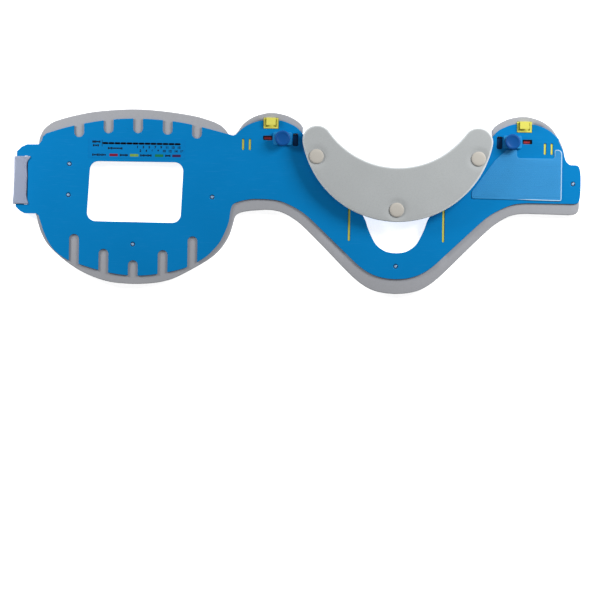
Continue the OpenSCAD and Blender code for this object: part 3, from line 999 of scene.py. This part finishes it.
class Copies:
    """Copies of one small piece on many points, made by a geometry node tree."""

    _tree: Optional[bpy.types.NodeTree] = None

    @classmethod
    def tree(cls) -> bpy.types.NodeTree:
        """Gives the tree, made once."""
        if cls._tree is None:
            cls._tree = cls._build()
        return cls._tree

    @staticmethod
    def _build() -> bpy.types.NodeTree:
        """Builds the tree: points, copies turned by the points' own turn, and a finish.

        Returns:
            The tree.
        """
        graph, given, out = new_group(
            "copies_on_points",
            [
                ("Points", "NodeSocketGeometry"),
                ("Copy", "NodeSocketObject"),
                ("Size", NUMBER),
                ("Finish", "NodeSocketMaterial"),
            ],
            [("Copies", "NodeSocketGeometry")],
            "GeometryNodeTree",
        )
        info = graph.add("GeometryNodeObjectInfo")
        turn = graph.add("GeometryNodeInputNamedAttribute", {"Name": "turn"}, data_type="FLOAT_VECTOR")
        place = graph.add("GeometryNodeInstanceOnPoints")
        real = graph.add("GeometryNodeRealizeInstances")
        paint = graph.add("GeometryNodeSetMaterial")
        graph.join(given.outputs["Points"], place.inputs["Points"])
        graph.join(given.outputs["Copy"], info.inputs["Object"])
        graph.join(info.outputs["Geometry"], place.inputs["Instance"])
        graph.join(turn.outputs["Attribute"], place.inputs["Rotation"])
        graph.join(given.outputs["Size"], place.inputs["Scale"])
        graph.join(place.outputs[0], real.inputs[0])
        graph.join(real.outputs[0], paint.inputs["Geometry"])
        graph.join(given.outputs["Finish"], paint.inputs["Material"])
        graph.join(paint.outputs[0], out.inputs["Copies"])
        return graph.tree

    @classmethod
    def spread(
        cls,
        name: str,
        copy: bmesh.types.BMesh,
        places: Sequence[Point3],
        finish: str,
        turns: Optional[Sequence[Point3]] = None,
        smooth: bool = True,
    ) -> bpy.types.Object:
        """Spreads copies over places and makes them one plain mesh.

        Args:
            name: The piece's name.
            copy: The shape that is repeated, in metres about the origin.
            places: Where the copies go, in metres.
            finish: The name of their finish.
            turns: Each copy's turn as Euler angles, if any.
            smooth: Whether the copies are shaded smooth.

        Returns:
            The new piece.
        """
        pattern = mesh_object(f"{name}_pattern", copy, finish, smooth)
        mesh = bpy.data.meshes.new(f"{name}_points")
        mesh.from_pydata([tuple(p) for p in places], [], [])
        given = [tuple(t) for t in turns] if turns else [(0.0, 0.0, 0.0)] * len(places)
        attribute = mesh.attributes.new("turn", "FLOAT_VECTOR", "POINT")
        attribute.data.foreach_set("vector", [angle for turn in given for angle in turn])
        holder = bpy.data.objects.new(f"{name}_holder", mesh)
        bpy.context.scene.collection.objects.link(holder)
        modifier = holder.modifiers.new("copies", "NODES")
        modifier.node_group = cls.tree()
        sockets = {s.name: s.identifier for s in cls.tree().interface.items_tree if s.in_out == "INPUT"}
        modifier[sockets["Copy"]] = pattern
        modifier[sockets["Size"]] = 1.0
        modifier[sockets["Finish"]] = finish_material(finish)
        bpy.context.view_layer.update()
        made = bpy.data.meshes.new_from_object(holder.evaluated_get(bpy.context.evaluated_depsgraph_get()))
        made.name = name
        piece = bpy.data.objects.new(name, made)
        bpy.context.scene.collection.objects.link(piece)
        holder.modifiers.clear()
        for spare in (holder, pattern):
            bpy.data.objects.remove(spare)
        return piece


def settle(piece: bpy.types.Object, body: str, slot: str, *replaced: str) -> bpy.types.Object:
    """Puts a finished piece on its body.

    Args:
        piece: The piece.
        body: The body it rides on.
        slot: Not used.
        replaced: The frame nodes that it stands for.

    Returns:
        The same piece.
    """
    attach(piece, body)
    if replaced:
        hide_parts(*replaced)
    log.info("%s: %d faces on %s", piece.name, len(piece.data.polygons), body)
    return piece


def dress(node: str, finish: str, edge: float = 0.0) -> None:
    """Gives a frame node its finish and rounds its edges a little.

    Args:
        node: The frame node.
        finish: The name of its finish.
        edge: Width of its rounded edges in millimetres.
    """
    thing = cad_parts[node]
    thing.data.materials.clear()
    thing.data.materials.append(finish_material(finish))
    if edge:
        weld = thing.modifiers.new("weld", "WELD")
        weld.merge_threshold = SAME_POINT
        melt = thing.modifiers.new("melt_flats", "DECIMATE")
        melt.decimate_type = "DISSOLVE"
        melt.angle_limit = NODE_MELT
        soften = thing.modifiers.new("soft_edges", "BEVEL")
        soften.width = edge * MM
        soften.segments = 2
        soften.limit_method = "ANGLE"
        soften.angle_limit = ROUNDED_ANGLE
        soften.use_clamp_overlap = False
        even = thing.modifiers.new("even_normals", "WEIGHTED_NORMAL")
        even.weight = 100
    log.info("%s: %s", node, finish)


# ---- The collar ----


@dataclass
class Shell:
    """The shell, its foam lining, and what is fixed to them."""

    edge: float = 0.35
    foam_top_edge: float = 1.0
    foam_under_edge: float = 0.8
    window_under_edge: float = 0.5
    pocket_room: float = 1.1
    cap_radius: float = 7.5

    def build(self) -> None:
        """Builds and dresses the shell's pieces."""
        dress("panel", "shell_blue", self.edge)
        self.lining()
        self.rivets()

    def lining(self) -> None:
        """Rounds the die-cut edges of the foam, and leaves its pockets sharp."""
        shape = merged_copy("foam_lining")
        low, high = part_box("foam_lining")
        outlines = face_loops("foam_lining", top=False)
        outer, window = (np.stack([o, np.roll(o, -1, 0)], axis=1) for o in outlines[:2])
        cut = np.vstack([outer, window])
        for level, width, segments in (
            (high.z, self.foam_top_edge, cut),
            (low.z, self.foam_under_edge, outer),
            (low.z, self.window_under_edge, window),
        ):
            corners = np.array([v.co.xy for v in shape.verts if abs(v.co.z - level) < SAME_LEVEL])
            pockets = corners[self.reach(cut, corners) > ON_OUTLINE]
            rim = []
            for edge in shape.edges:
                ends = np.array([v.co.xy for v in edge.verts])
                if any(abs(v.co.z - level) > SAME_LEVEL for v in edge.verts):
                    continue
                if self.reach(segments, np.vstack([ends, ends.mean(0)])).max() > ON_OUTLINE:
                    continue
                if self.reach(ends[None], pockets).min() > self.pocket_room * width * MM:
                    rim.append(edge)
            bmesh.ops.bevel(
                shape,
                geom=rim,
                offset=width * MM,
                segments=4,
                profile=0.5,
                affect="EDGES",
                clamp_overlap=False,
            )
        bmesh.ops.triangulate(shape, faces=[f for f in shape.faces if len(f.verts) > 4])
        bmesh.ops.recalc_face_normals(shape, faces=shape.faces)
        piece = mesh_object("lining_foam", shape, "foam_grey")
        settle(piece, Body.SHELL.value, "foam_grey", "foam_lining")

    @staticmethod
    def reach(segments: np.ndarray, places: np.ndarray) -> np.ndarray:
        """Measures how far places are from some segments.

        Args:
            segments: The two ends of each segment, in metres.
            places: The places.

        Returns:
            Each place's distance from the segment nearest to it.
        """
        start, along = segments[:, 0], segments[:, 1] - segments[:, 0]
        share = ((places[:, None] - start) * along).sum(2) / np.maximum((along**2).sum(1), 1e-16)
        nearest = start + np.clip(share, 0.0, 1.0)[..., None] * along
        return np.linalg.norm(nearest - places[:, None], axis=2).min(1)

    def rivets(self) -> None:
        """Makes the push rivets of the lining, one mesh for each length."""
        by_length: dict[int, list[tuple[Vector, Vector]]] = {}
        for low, high in solids("panel_rivets"):
            by_length.setdefault(round((high.z - low.z) / MM * 10), []).append((low, high))
        for number, group in enumerate(by_length.values(), start=1):
            low, high = group[0]
            tall = (high.z - low.z) / MM
            places = [((a.x + b.x) / 2, (a.y + b.y) / 2, a.z) for a, b in group]
            rivet = push_rivet(self.cap_radius, tall)
            piece = Copies.spread(f"lining_rivets_{number}", rivet, places, "rivet_two_part")
            settle(piece, Body.SHELL.value, "rivet_beige", "panel_rivets")


@dataclass
class ScaleLabel:
    """The printed sizing scale. Places on it run from its lower left corner."""

    ink_thickness: float = 0.04
    line_y: float = 15.4
    line_x: Point2 = (14.2, 95.5)
    dash: float = 3.1
    dash_height: float = 2.2
    settings: int = 16
    numeral_x: float = 50.7
    numeral_pitch: float = 3.08
    numeral_rows: Point2 = (11.7, 7.9)
    numeral_size: float = 3.48
    numeral_weight: float = 0.16
    dash_share: float = 0.8
    hairline: float = 1.1
    start_mark: Point2 = (0.5, 7.0)
    start_gap: float = 0.3
    bar_y: float = 3.2
    bar_size: Point2 = (8.8, 2.7)
    bars: tuple[tuple[str, float], ...] = (
        ("ink_red", 21.6), ("ink_lime", 43.0), ("ink_green", 69.0), ("ink_violet", 87.0),
    )
    words: tuple[tuple[float, float, float], ...] = (
        (3.6, 16.8, 8.6), (4.2, 13.0, 6.4), (19.8, 10.2, 15.4), (3.6, 3.2, 14.4), (32.4, 3.2, 8.6),
        (53.6, 3.2, 12.0), (79.6, 3.2, 5.6),
    )
    letter: Point2 = (1.25, 1.55)
    tall_letter: float = 2.3
    tall_share: float = 0.3
    letter_pitch: float = 1.25
    seed: int = 3

    def build(self) -> None:
        """Builds and dresses the label."""
        dress("scale_label", "label_blue")
        self.low, self.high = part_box("scale_label")
        self.scale_line()
        self.numerals()
        self.colour_bars()
        self.word_marks()

    def at(self, x: float, y: float) -> Point3:
        """Gives the place in metres of a point on the label's face."""
        return (self.low.x + x * MM, self.low.y + y * MM, self.high.z + self.ink_thickness * MM / 2)

    def print_copies(self, name: str, size: Point2, places: Sequence[Point2], ink: str) -> None:
        """Prints one small bar of ink at each place.

        Args:
            name: The piece's name.
            size: The bar's width and height.
            places: The bars' middles on the label.
            ink: The name of the ink.
        """
        copy = bar((*size, self.ink_thickness))
        piece = Copies.spread(name, copy, [self.at(*p) for p in places], ink, smooth=False)
        settle(piece, Body.SHELL.value, "label_blue")

    def scale_line(self) -> None:
        """Prints the dashed line of the scale and its end marks."""
        start, end = self.line_x
        pitch = 2 * self.dash
        count = round((end - start) / pitch)
        dashes = [(start + (k + 0.5) * (end - start) / count, self.line_y) for k in range(count)]
        middle, before = ((start + end) / 2, self.line_y), (start - self.start_gap, self.line_y)
        self.print_copies("scale_dashes", (pitch * self.dash_share, self.dash_height), dashes, "ink_black")
        self.print_copies("scale_hairline", (end - start, self.hairline), [middle], "ink_black")
        self.print_copies("scale_start_mark", self.start_mark, [before], "ink_black")

    def numerals(self) -> None:
        """Prints the setting numbers, odd ones in the upper row and even ones in the lower."""
        joined = bmesh.new()
        for number in range(1, self.settings + 1):
            row = self.numeral_rows[(number + 1) % 2]
            place = self.at(self.numeral_x + (number - 1) * self.numeral_pitch, row)
            text = bpy.data.curves.new("numeral", "FONT")
            text.body = str(number)
            text.size = self.numeral_size * MM
            text.align_x = "CENTER"
            text.align_y = "CENTER"
            text.extrude = self.ink_thickness * MM / 2
            text.offset = self.numeral_weight * MM
            holder = bpy.data.objects.new("numeral", text)
            made = bpy.data.meshes.new_from_object(holder)
            for vert in made.vertices:
                vert.co += Vector(place)
            joined.from_mesh(made)
            bpy.data.objects.remove(holder)
        bmesh.ops.remove_doubles(joined, verts=joined.verts, dist=SAME_POINT / 10)
        piece = mesh_object("scale_numerals", joined, "ink_black", smooth=False)
        settle(piece, Body.SHELL.value, "label_blue")

    def colour_bars(self) -> None:
        """Prints the four colour keys."""
        for ink, x in self.bars:
            middle = (x + self.bar_size[0] / 2, self.bar_y)
            self.print_copies(ink.replace("ink", "colour_key"), self.bar_size, [middle], ink)

    def word_marks(self) -> None:
        """Prints plain bars where a caption would stand, some of them taller, in place of letters."""
        random = np.random.default_rng(self.seed)
        low, tall = [], []
        width, height = self.letter
        for x, y, length in self.words:
            count = round(length / (width * self.letter_pitch))
            for k in range(count):
                place = (x + (k + 0.5) * length / count, y)
                (tall if k == 0 or random.random() < self.tall_share else low).append(place)
        self.print_copies("caption_bars", (width, height), low, "ink_black")
        self.print_copies("caption_tall_bars", (width, self.tall_letter), tall, "ink_black")


@dataclass
class LoopPad:
    """The soft half of the hook and loop fastening."""

    rounding: float = 0.35
    point_step: float = 1.2
    spacing: float = 6.0
    pitch: float = 1.9
    pile_margin: float = 1.1
    pile_scatter: float = 0.2
    pile_turn: float = 0.6
    loop_radius: float = 0.42
    loop_wire: float = 0.11
    loop_show: float = 0.9
    weld_width: float = 1.1
    weld_height: float = 0.4
    weld_reach: float = 9.5
    weld_sink: float = 0.05
    weld_corner: float = 3.0
    weld_taper: int = 12
    seed: int = 7

    def build(self) -> None:
        """Builds the pad and its pile."""
        low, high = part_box("loop_pad")
        outline = spaced(face_loops("loop_pad", top=True)[0], self.point_step * MM)
        base = high.z - self.loop_radius * MM * self.loop_show
        shape = padded_slab(outline, low.z, base, self.rounding * MM, self.spacing * MM, lambda x, y: 0.0)
        pad = mesh_object("fastening_pad", shape, "loop_blue")
        settle(pad, Body.SHELL.value, "loop_blue", "loop_pad")
        self.pile(outline, base)
        self.weld_line(outline, base)

    def weld_line(self, outline: np.ndarray, base: float) -> None:
        """Lays a raised pale bead along the pad's outer corner: its right side, lower edge and top right
        corner. Its pale colour is a painted highlight on these lit edges.

        Args:
            outline: The pad's evenly spaced outline.
            base: The height of the pad's face.
        """
        low, high = outline.min(0), outline.max(0)
        far, half_way = high[0] - self.weld_reach * MM, (low[0] + high[0]) / 2
        foot = low[1] + self.weld_corner * MM
        kept = [bool(x > far or (y < foot and x > half_way)) for x, y in outline]
        first = next(k for k in range(len(kept)) if kept[k] and not kept[k - 1])
        order = [(first + k) % len(kept) for k in range(sum(kept))]
        middle = inset(outline, self.weld_width * MM / 2)
        across = inset(outline, self.weld_width * MM) - outline
        shape = bmesh.new()
        rows = []
        for number, k in enumerate(order):
            from_end = min(number, len(order) - 1 - number)
            taper = min(1.0, from_end / self.weld_taper) * 0.9 + 0.1
            row = []
            for angle in (0, 45, 90, 135, 180):
                side, lift = math.cos(math.radians(angle)) * taper / 2, math.sin(math.radians(angle)) * taper
                x, y = middle[k] + across[k] * side
                row.append(shape.verts.new((x, y, base - self.weld_sink * MM + lift * self.weld_height * MM)))
            rows.append(row)
        close_tube(shape, rows)
        # The pale finish is a painted highlight along the edges that face the lights.
        settle(mesh_object("fastening_weld", shape, "bead_painted_highlight"), Body.SHELL.value, "loop_blue")

    @staticmethod
    def area(outline: np.ndarray) -> float:
        """Gives the area of an outline in square metres."""
        x, y = outline.T
        return abs(float((x * np.roll(y, -1) - np.roll(x, -1) * y).sum())) / 2

    def pile(self, outline: np.ndarray, base: float) -> None:
        """Stands rows of tiny loops on the pad.

        Args:
            outline: The pad's evenly spaced outline.
            base: The height of the pad's face.
        """
        edge = inset(outline, self.pile_margin * MM)
        random = np.random.default_rng(self.seed)
        places, turns = [], []
        for x, y in staggered(edge, outline, self.pitch * MM, self.pitch * MM):
            shift = random.uniform(-self.pile_scatter, self.pile_scatter, 2) * MM
            places.append((x + shift[0], y + shift[1], base))
            turns.append((0.0, 0.0, random.uniform(-self.pile_turn, self.pile_turn)))
        piece = Copies.spread("fastening_pile", self.one_loop(), places, "loop_blue", turns)
        settle(piece, Body.SHELL.value, "loop_blue")

    def one_loop(self) -> bmesh.types.BMesh:
        """Bends one thread of the pile: half a ring of triangular section.

        Returns:
            The thread, about the origin.
        """
        bends, sides = 5, 3
        shape = bmesh.new()
        side = Vector((0.0, 1.0, 0.0))
        turns = [math.tau * j / sides for j in range(sides)]
        rows = []
        for k in range(bends + 1):
            angle = math.pi * k / bends
            out = Vector((math.cos(angle), 0.0, math.sin(angle)))
            rows.append([
                shape.verts.new(
                    (out * self.loop_radius + self.loop_wire * (out * math.cos(t) + side * math.sin(t))) * MM
                )
                for t in turns
            ])
        close_tube(shape, rows)
        return shape


@dataclass
class Strap:
    """The closing strap: a band round the end bar, and its folded free end."""

    thickness: float = 1.0
    tape_share: float = 0.8
    slack: float = 0.5
    across: int = 48
    slant: float = 0.9
    corner_share: float = 0.36
    tail_gap: float = 0.1
    fold_gap: float = 0.2
    ramp: Point2 = (3.0, 18.0)
    fold_end: float = 1.6
    run_start: float = 24.0
    back_end: float = 30.0
    point_step: float = 3.0
    stitch: Point3 = (0.4, 2.2, 0.18)
    stitch_pitch: float = 3.1
    stitch_rows: Point2 = (5.0, 8.0)
    flares: tuple[Point3, ...] = ((1.0, 5.0, 0.08), (0.0, 2.6, 0.1), (0.55, 0.7, 0.12), (0.5, 1.7, 3.0))

    def build(self) -> None:
        """Builds both parts of the strap and their stitches."""
        low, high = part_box("strap_loop")
        half = self.thickness * MM / 2
        middle = self.rounded_loop(low.x + half, high.x - half, low.z + half, high.z - half)
        self.band("strap_band", middle, low.y, high.y, True, "strap_loop")
        low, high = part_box("strap_tail")
        self.band("strap_free_end", self.tail_path(low, high), low.y, high.y, False, "strap_tail")
        self.stitches(low, high)

    @staticmethod
    def rounded_loop(x0: float, x1: float, z0: float, z1: float) -> list[Point2]:
        """Gives the closed path of the band round the bar, seen along Y.

        Args:
            x0: The path's left end, in metres.
            x1: Its right end.
            z0: Its lowest point.
            z1: Its highest point.

        Returns:
            The path's points.
        """
        radius = min(x1 - x0, z1 - z0) * Strap.corner_share
        corners = [(x1 - radius, z0 + radius, -90), (x1 - radius, z1 - radius, 0)]
        corners += [(x0 + radius, z1 - radius, 90), (x0 + radius, z0 + radius, 180)]
        path = []
        for x, z, first in corners:
            for step in range(6):
                angle = math.radians(first + 90 * step / 5)
                path.append((x + radius * math.cos(angle), z + radius * math.sin(angle)))
        return path

    def tail_path(self, low: Vector, high: Vector) -> list[Point2]:
        """Gives the open path of the folded end, seen along Y.

        Args:
            low: The lowest corner of the free end's box.
            high: Its highest corner.

        Returns:
            The path's points.
        """
        half = self.thickness * MM / 2
        first = low.z + half + self.tail_gap * MM
        second = first + 2 * half + self.fold_gap * MM
        start = [(low.x + half, high.z - half), (low.x + 1.5 * MM, high.z - 2.0 * half)]
        ramp = []
        for step in range(13):
            share = step / 12
            ease = share * share * (3 - 2 * share)
            x = low.x + (self.ramp[0] + share * self.ramp[1]) * MM
            ramp.append((x, start[1][1] * (1 - ease) + first * ease))
        turn_x, radius = high.x - self.fold_end * MM, (second - first) / 2
        gap = self.point_step * MM
        run = [(x, first) for x in np.arange(low.x + self.run_start * MM, turn_x, gap)]
        bend = [
            (turn_x + radius * math.cos(a), first + radius + radius * math.sin(a))
            for a in np.linspace(-math.pi / 2, math.pi / 2, 7)
        ]
        back = [(x, second) for x in np.arange(turn_x - gap, low.x + self.back_end * MM, -gap)]
        return [*start, *ramp, *run, *bend, *back]

    def band(
        self, name: str, path: list[Point2], y0: float, y1: float, closed: bool, node: str
    ) -> None:
        """Weaves a band of tape along a path.

        Args:
            name: The piece's name.
            path: The band's middle in the plane of X and Z.
            y0: Its lower edge.
            y1: Its upper edge.
            closed: Whether its ends meet.
            node: The frame node that it replaces.
        """
        shape = bmesh.new()
        uv = shape.loops.layers.uv.new("strap")
        along = np.concatenate([[0.0], np.cumsum([math.dist(a, b) for a, b in zip(path, path[1:])])])
        total = along[-1] + (math.dist(path[0], path[-1]) if closed else 0.0)
        rows = []
        for (x, z), s in zip(path, along):
            wave = self.slack * MM * math.sin(s / MM * 0.33) * 0.5
            ys = np.linspace(y0 + abs(wave), y1 - 0.2 * MM + wave * 0.4, self.across + 1)
            ripple = [0.12 * math.sin((y - y0) / MM * 0.42 + s / MM * 0.2) for y in ys]
            reach = self.reach(path, x, z) if closed else None
            shift = [reach((y - y0) / (y1 - y0)) + r * MM if reach else 0.0 for y, r in zip(ys, ripple)]
            rows.append([shape.verts.new((x + d, y, z)) for y, d in zip(ys, shift)])
        pairs = list(zip(range(len(rows)), range(1, len(rows))))
        if closed:
            pairs.append((len(rows) - 1, 0))
        for here, there in pairs:
            u0, u1 = along[here], along[there] if there else total
            one, two = rows[here], rows[there]
            for k in range(self.across):
                face = shape.faces.new((one[k], one[k + 1], two[k + 1], two[k]))
                v0, v1 = (y1 - y0) * k / self.across, (y1 - y0) * (k + 1) / self.across
                for loop, place in zip(face.loops, ((u0, v0), (u0, v1), (u1, v1), (u1, v0))):
                    loop[uv].uv = place
        bmesh.ops.recalc_face_normals(shape, faces=shape.faces)
        piece = mesh_object(name, shape, "strap_grey")
        thick = piece.modifiers.new("tape_thickness", "SOLIDIFY")
        thick.thickness = self.thickness * MM * self.tape_share
        thick.offset = 0.0
        settle(piece, Body.SHELL.value, "strap_grey", node)

    def reach(self, path: list[Point2], x: float, z: float) -> Callable[[float], float]:
        """Gives how far the band is pushed along X at each share of its width.

        Args:
            path: The band's middle in the plane of X and Z.
            x: Where the point stands on the path.
            z: Its height.

        Returns:
            A rule from the share of the width to a distance in metres.
        """
        xs, zs = zip(*path)
        right = (x - min(xs)) / (max(xs) - min(xs))
        above = max(0.0, (z - min(zs)) / (max(zs) - min(zs)) - 0.6) / 0.4

        def rule(share: float) -> float:
            """Gives the push in metres at one share of the band's width."""
            flare = sum(size * math.exp(-(((share - at) / wide) ** 2)) for at, size, wide in self.flares)
            slanted = (1 - right) * self.slant * (2 * share - 1)
            return (slanted + right**3 * math.sqrt(above) * flare) * MM

        return rule

    def stitches(self, low: Vector, high: Vector) -> None:
        """Sews two rows of stitches across the folded end, on the side that lies on the table.

        Args:
            low: The lowest corner of the free end's box.
            high: Its highest corner.
        """
        ys = np.arange(low.y + 3 * MM, high.y - 2 * MM, self.stitch_pitch * MM)
        xs = [high.x - row * MM for row in self.stitch_rows]
        places = [(x, y, low.z + 0.12 * MM) for x in xs for y in ys]
        piece = Copies.spread("strap_stitches", bar(self.stitch, 0.08), places, "thread_white")
        settle(piece, Body.SHELL.value, "strap_grey")


@dataclass
class HeightAdjuster:
    """One side's guide, slide, size strip, lock and hinge pin."""

    side: Side
    grips: int = 28
    grip_size: Point3 = (0.5, 0.5, 3.2)
    grip_rounding: float = 0.15
    grip_inset: float = 0.1
    grip_drop: float = 2.4
    film_roughness: float = 0.4

    def node(self, name: str) -> str:
        """Gives the full name of one of this side's nodes."""
        return f"{self.side.value}_{name}"

    def build(self) -> None:
        """Dresses this side's nodes and cuts the button's grips."""
        for name, finish, edge in (
            ("guide", "guide_yellow", 0.2),
            ("batten", "guide_yellow", 0.25),
            ("lock_housing", "adjuster_blue", 0.3),
            ("lock_button", "button_blue", 0.25),
            ("slide", "slide_blue_and_shade", 0.0),
            ("hinge_pin", "pin_steel", 0.15),
        ):
            dress(self.node(name), finish, edge)
        self.size_strip()
        self.button_grips()

    def size_strip(self) -> None:
        """Prints the strip's bands of colour, which begin at its top."""
        node = self.node("size_strip")
        low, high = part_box(node)
        length = (high.y - low.y) / MM / len(STRIP_BANDS)
        middle = (low.x + high.x) / 2 / MM
        film = BandedFilm(
            f"{node}_film", STRIP_BANDS[0], self.film_roughness, STRIP_BANDS, high.y / MM, middle, length
        )
        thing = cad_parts[node]
        thing.data.materials.clear()
        thing.data.materials.append(film.make())

    def button_grips(self) -> None:
        """Sets small upright ribs round the button's cap."""
        low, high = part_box(self.node("lock_button"))
        radius = (high.x - low.x) / 2 - self.grip_inset * MM
        middle_x, middle_y = (low.x + high.x) / 2, high.y - (high.x - low.x) / 2
        z = high.z - self.grip_drop * MM
        angles = [math.tau * k / self.grips for k in range(self.grips)]
        places = [(middle_x + radius * math.cos(a), middle_y + radius * math.sin(a), z) for a in angles]
        turns = [(0.0, 0.0, a) for a in angles]
        grip = bar(self.grip_size, self.grip_rounding)
        piece = Copies.spread(self.node("button_grips"), grip, places, "button_blue", turns)
        settle(piece, self.node("button"), "button_blue")


@dataclass
class ChinSupport:
    """The folding chin support: its plate, its foam and its rivets."""

    rounding: float = 2.0
    spacing: float = 2.6
    point_step: float = 1.6
    plate_edge: float = 0.25
    swell: float = 0.12
    swell_pace: Point2 = (0.11, 0.13)
    rivet_radius: float = 7.5
    seat_depth: float = 1.1
    seat_reach: float = 5.5
    seats: list[Vector] = field(default_factory=list)

    def build(self) -> None:
        """Builds and dresses the support's pieces."""
        dress("chin_plate", "shell_blue", self.plate_edge)
        caps = list(solids("chin_rivets"))
        self.seats = [(low + high) / 2 for low, high in caps]
        self.foam()
        tall = (caps[0][1].z - caps[0][0].z) / MM
        top = caps[0][1].z
        places = [(seat.x, seat.y, top) for seat in self.seats]
        turns = [(math.pi, 0.0, 0.0)] * len(places)
        rivet = push_rivet(self.rivet_radius, tall)
        piece = Copies.spread("chin_push_rivets", rivet, places, "rivet_beige", turns)
        settle(piece, Body.CHIN.value, "rivet_beige", "chin_rivets")

    def foam(self) -> None:
        """Builds the foam crescent, pulled in round its rivets."""
        low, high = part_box("chin_foam")
        outline = spaced(face_loops("chin_foam", top=True)[0], self.point_step * MM)
        shape = padded_slab(outline, low.z, high.z, self.rounding * MM, self.spacing * MM, self.relief)
        piece = mesh_object("chin_cushion", shape, "chin_grey")
        settle(piece, Body.CHIN.value, "chin_grey", "chin_foam")

    def relief(self, x: float, y: float) -> float:
        """Gives the shape of the foam's skin, which swells slowly and sinks at each rivet.

        Args:
            x: A place across, in metres.
            y: Its place along.

        Returns:
            The skin's height over the foam's flat top.
        """
        pace_x, pace_y = self.swell_pace
        height = self.swell * MM * math.sin(x / MM * pace_x) * math.cos(y / MM * pace_y)
        for seat in self.seats:
            away = math.hypot(x - seat.x, y - seat.y) / MM
            share = min(1.0, max(0.0, (away - self.rivet_radius) / self.seat_reach))
            height -= self.seat_depth * MM * (1 - share * share * (3 - 2 * share))
        return height


# ---- Studio ----


@dataclass
class Studio:
    """A pale table, soft lights and a camera that looks straight down."""

    view_centre: Point2 = (5.2, -102.1)
    view_height: float = 3510.0
    view_width: float = 624.0
    roll_degrees: float = 0.9
    sensor: float = 36.0
    foam_height: float = 10.0
    table_reach: float = 4.0
    table_drop: float = 0.05
    table_white: float = 0.93
    table_glow: float = 0.68
    room_light: float = 0.3

    def build(self) -> None:
        """Builds the camera, the table and the lights."""
        self.camera()
        self.table()
        self.light("key_right", place=(0.66, 0.42, 0.5), aim=(0.14, 0.0, 0.0), size=0.36, power=7.4)
        self.light("fill_left", place=(-0.65, 0.27, 0.32), aim=(-0.22, 0.0, 0.0), size=0.2, power=2.9)
        self.sky(self.room_light)

    def camera(self) -> None:
        """Places the camera."""
        lens = bpy.data.cameras.new("camera")
        distance = self.view_height - self.foam_height
        lens.sensor_width = self.sensor
        lens.lens = self.sensor * distance / self.view_width
        eye = bpy.data.objects.new("camera", lens)
        eye.location = (self.view_centre[0] * MM, self.view_centre[1] * MM, self.view_height * MM)
        eye.rotation_euler = (0.0, 0.0, math.radians(self.roll_degrees))
        bpy.context.scene.collection.objects.link(eye)
        bpy.context.scene.camera = eye

    def table(self) -> None:
        """Lays the pale table under the collar."""
        shape = bmesh.new()
        bmesh.ops.create_grid(shape, x_segments=1, y_segments=1, size=self.table_reach)
        for vert in shape.verts:
            vert.co.z = cad_low.z - self.table_drop * MM
        mesh = bpy.data.meshes.new("table")
        shape.to_mesh(mesh)
        shape.free()
        surface = bpy.data.materials.new("table_white")
        surface.use_nodes = True
        shader = surface.node_tree.nodes["Principled BSDF"]
        shader.inputs["Base Color"].default_value = (*[self.table_white] * 3, 1.0)
        shader.inputs["Roughness"].default_value = 0.9
        shader.inputs["Emission Color"].default_value = WHITE
        shader.inputs["Emission Strength"].default_value = self.table_glow
        mesh.materials.append(surface)
        top = bpy.data.objects.new("table", mesh)
        bpy.context.scene.collection.objects.link(top)

    @staticmethod
    def light(name: str, place: Point3, aim: Point3, size: float, power: float) -> None:
        """Hangs one soft box.

        Args:
            name: The light's name.
            place: Where it hangs, in metres.
            aim: The point that it faces.
            size: The length of its sides.
            power: Its power in watts.
        """
        lamp = bpy.data.lights.new(name, "AREA")
        lamp.size = size
        lamp.energy = power
        holder = bpy.data.objects.new(name, lamp)
        holder.location = place
        holder.rotation_euler = (Vector(aim) - Vector(place)).to_track_quat("-Z", "Y").to_euler()
        bpy.context.scene.collection.objects.link(holder)

    @staticmethod
    def sky(strength: float) -> None:
        """Fills the room with even white light.

        Args:
            strength: How bright it is.
        """
        world = bpy.data.worlds.new("room")
        world.use_nodes = True
        background = world.node_tree.nodes["Background"]
        background.inputs["Color"].default_value = WHITE
        background.inputs["Strength"].default_value = strength
        bpy.context.scene.world = world
        bpy.context.scene.view_settings.view_transform = "Standard"


def main() -> None:
    """Builds the studio and every part of the collar."""
    logging.basicConfig(level=logging.INFO, format="%(name)s: %(message)s")
    Studio().build()
    Shell().build()
    ScaleLabel().build()
    LoopPad().build()
    Strap().build()
    for side in Side:
        HeightAdjuster(side).build()
    ChinSupport().build()


if __name__ == "__main__":
    main()
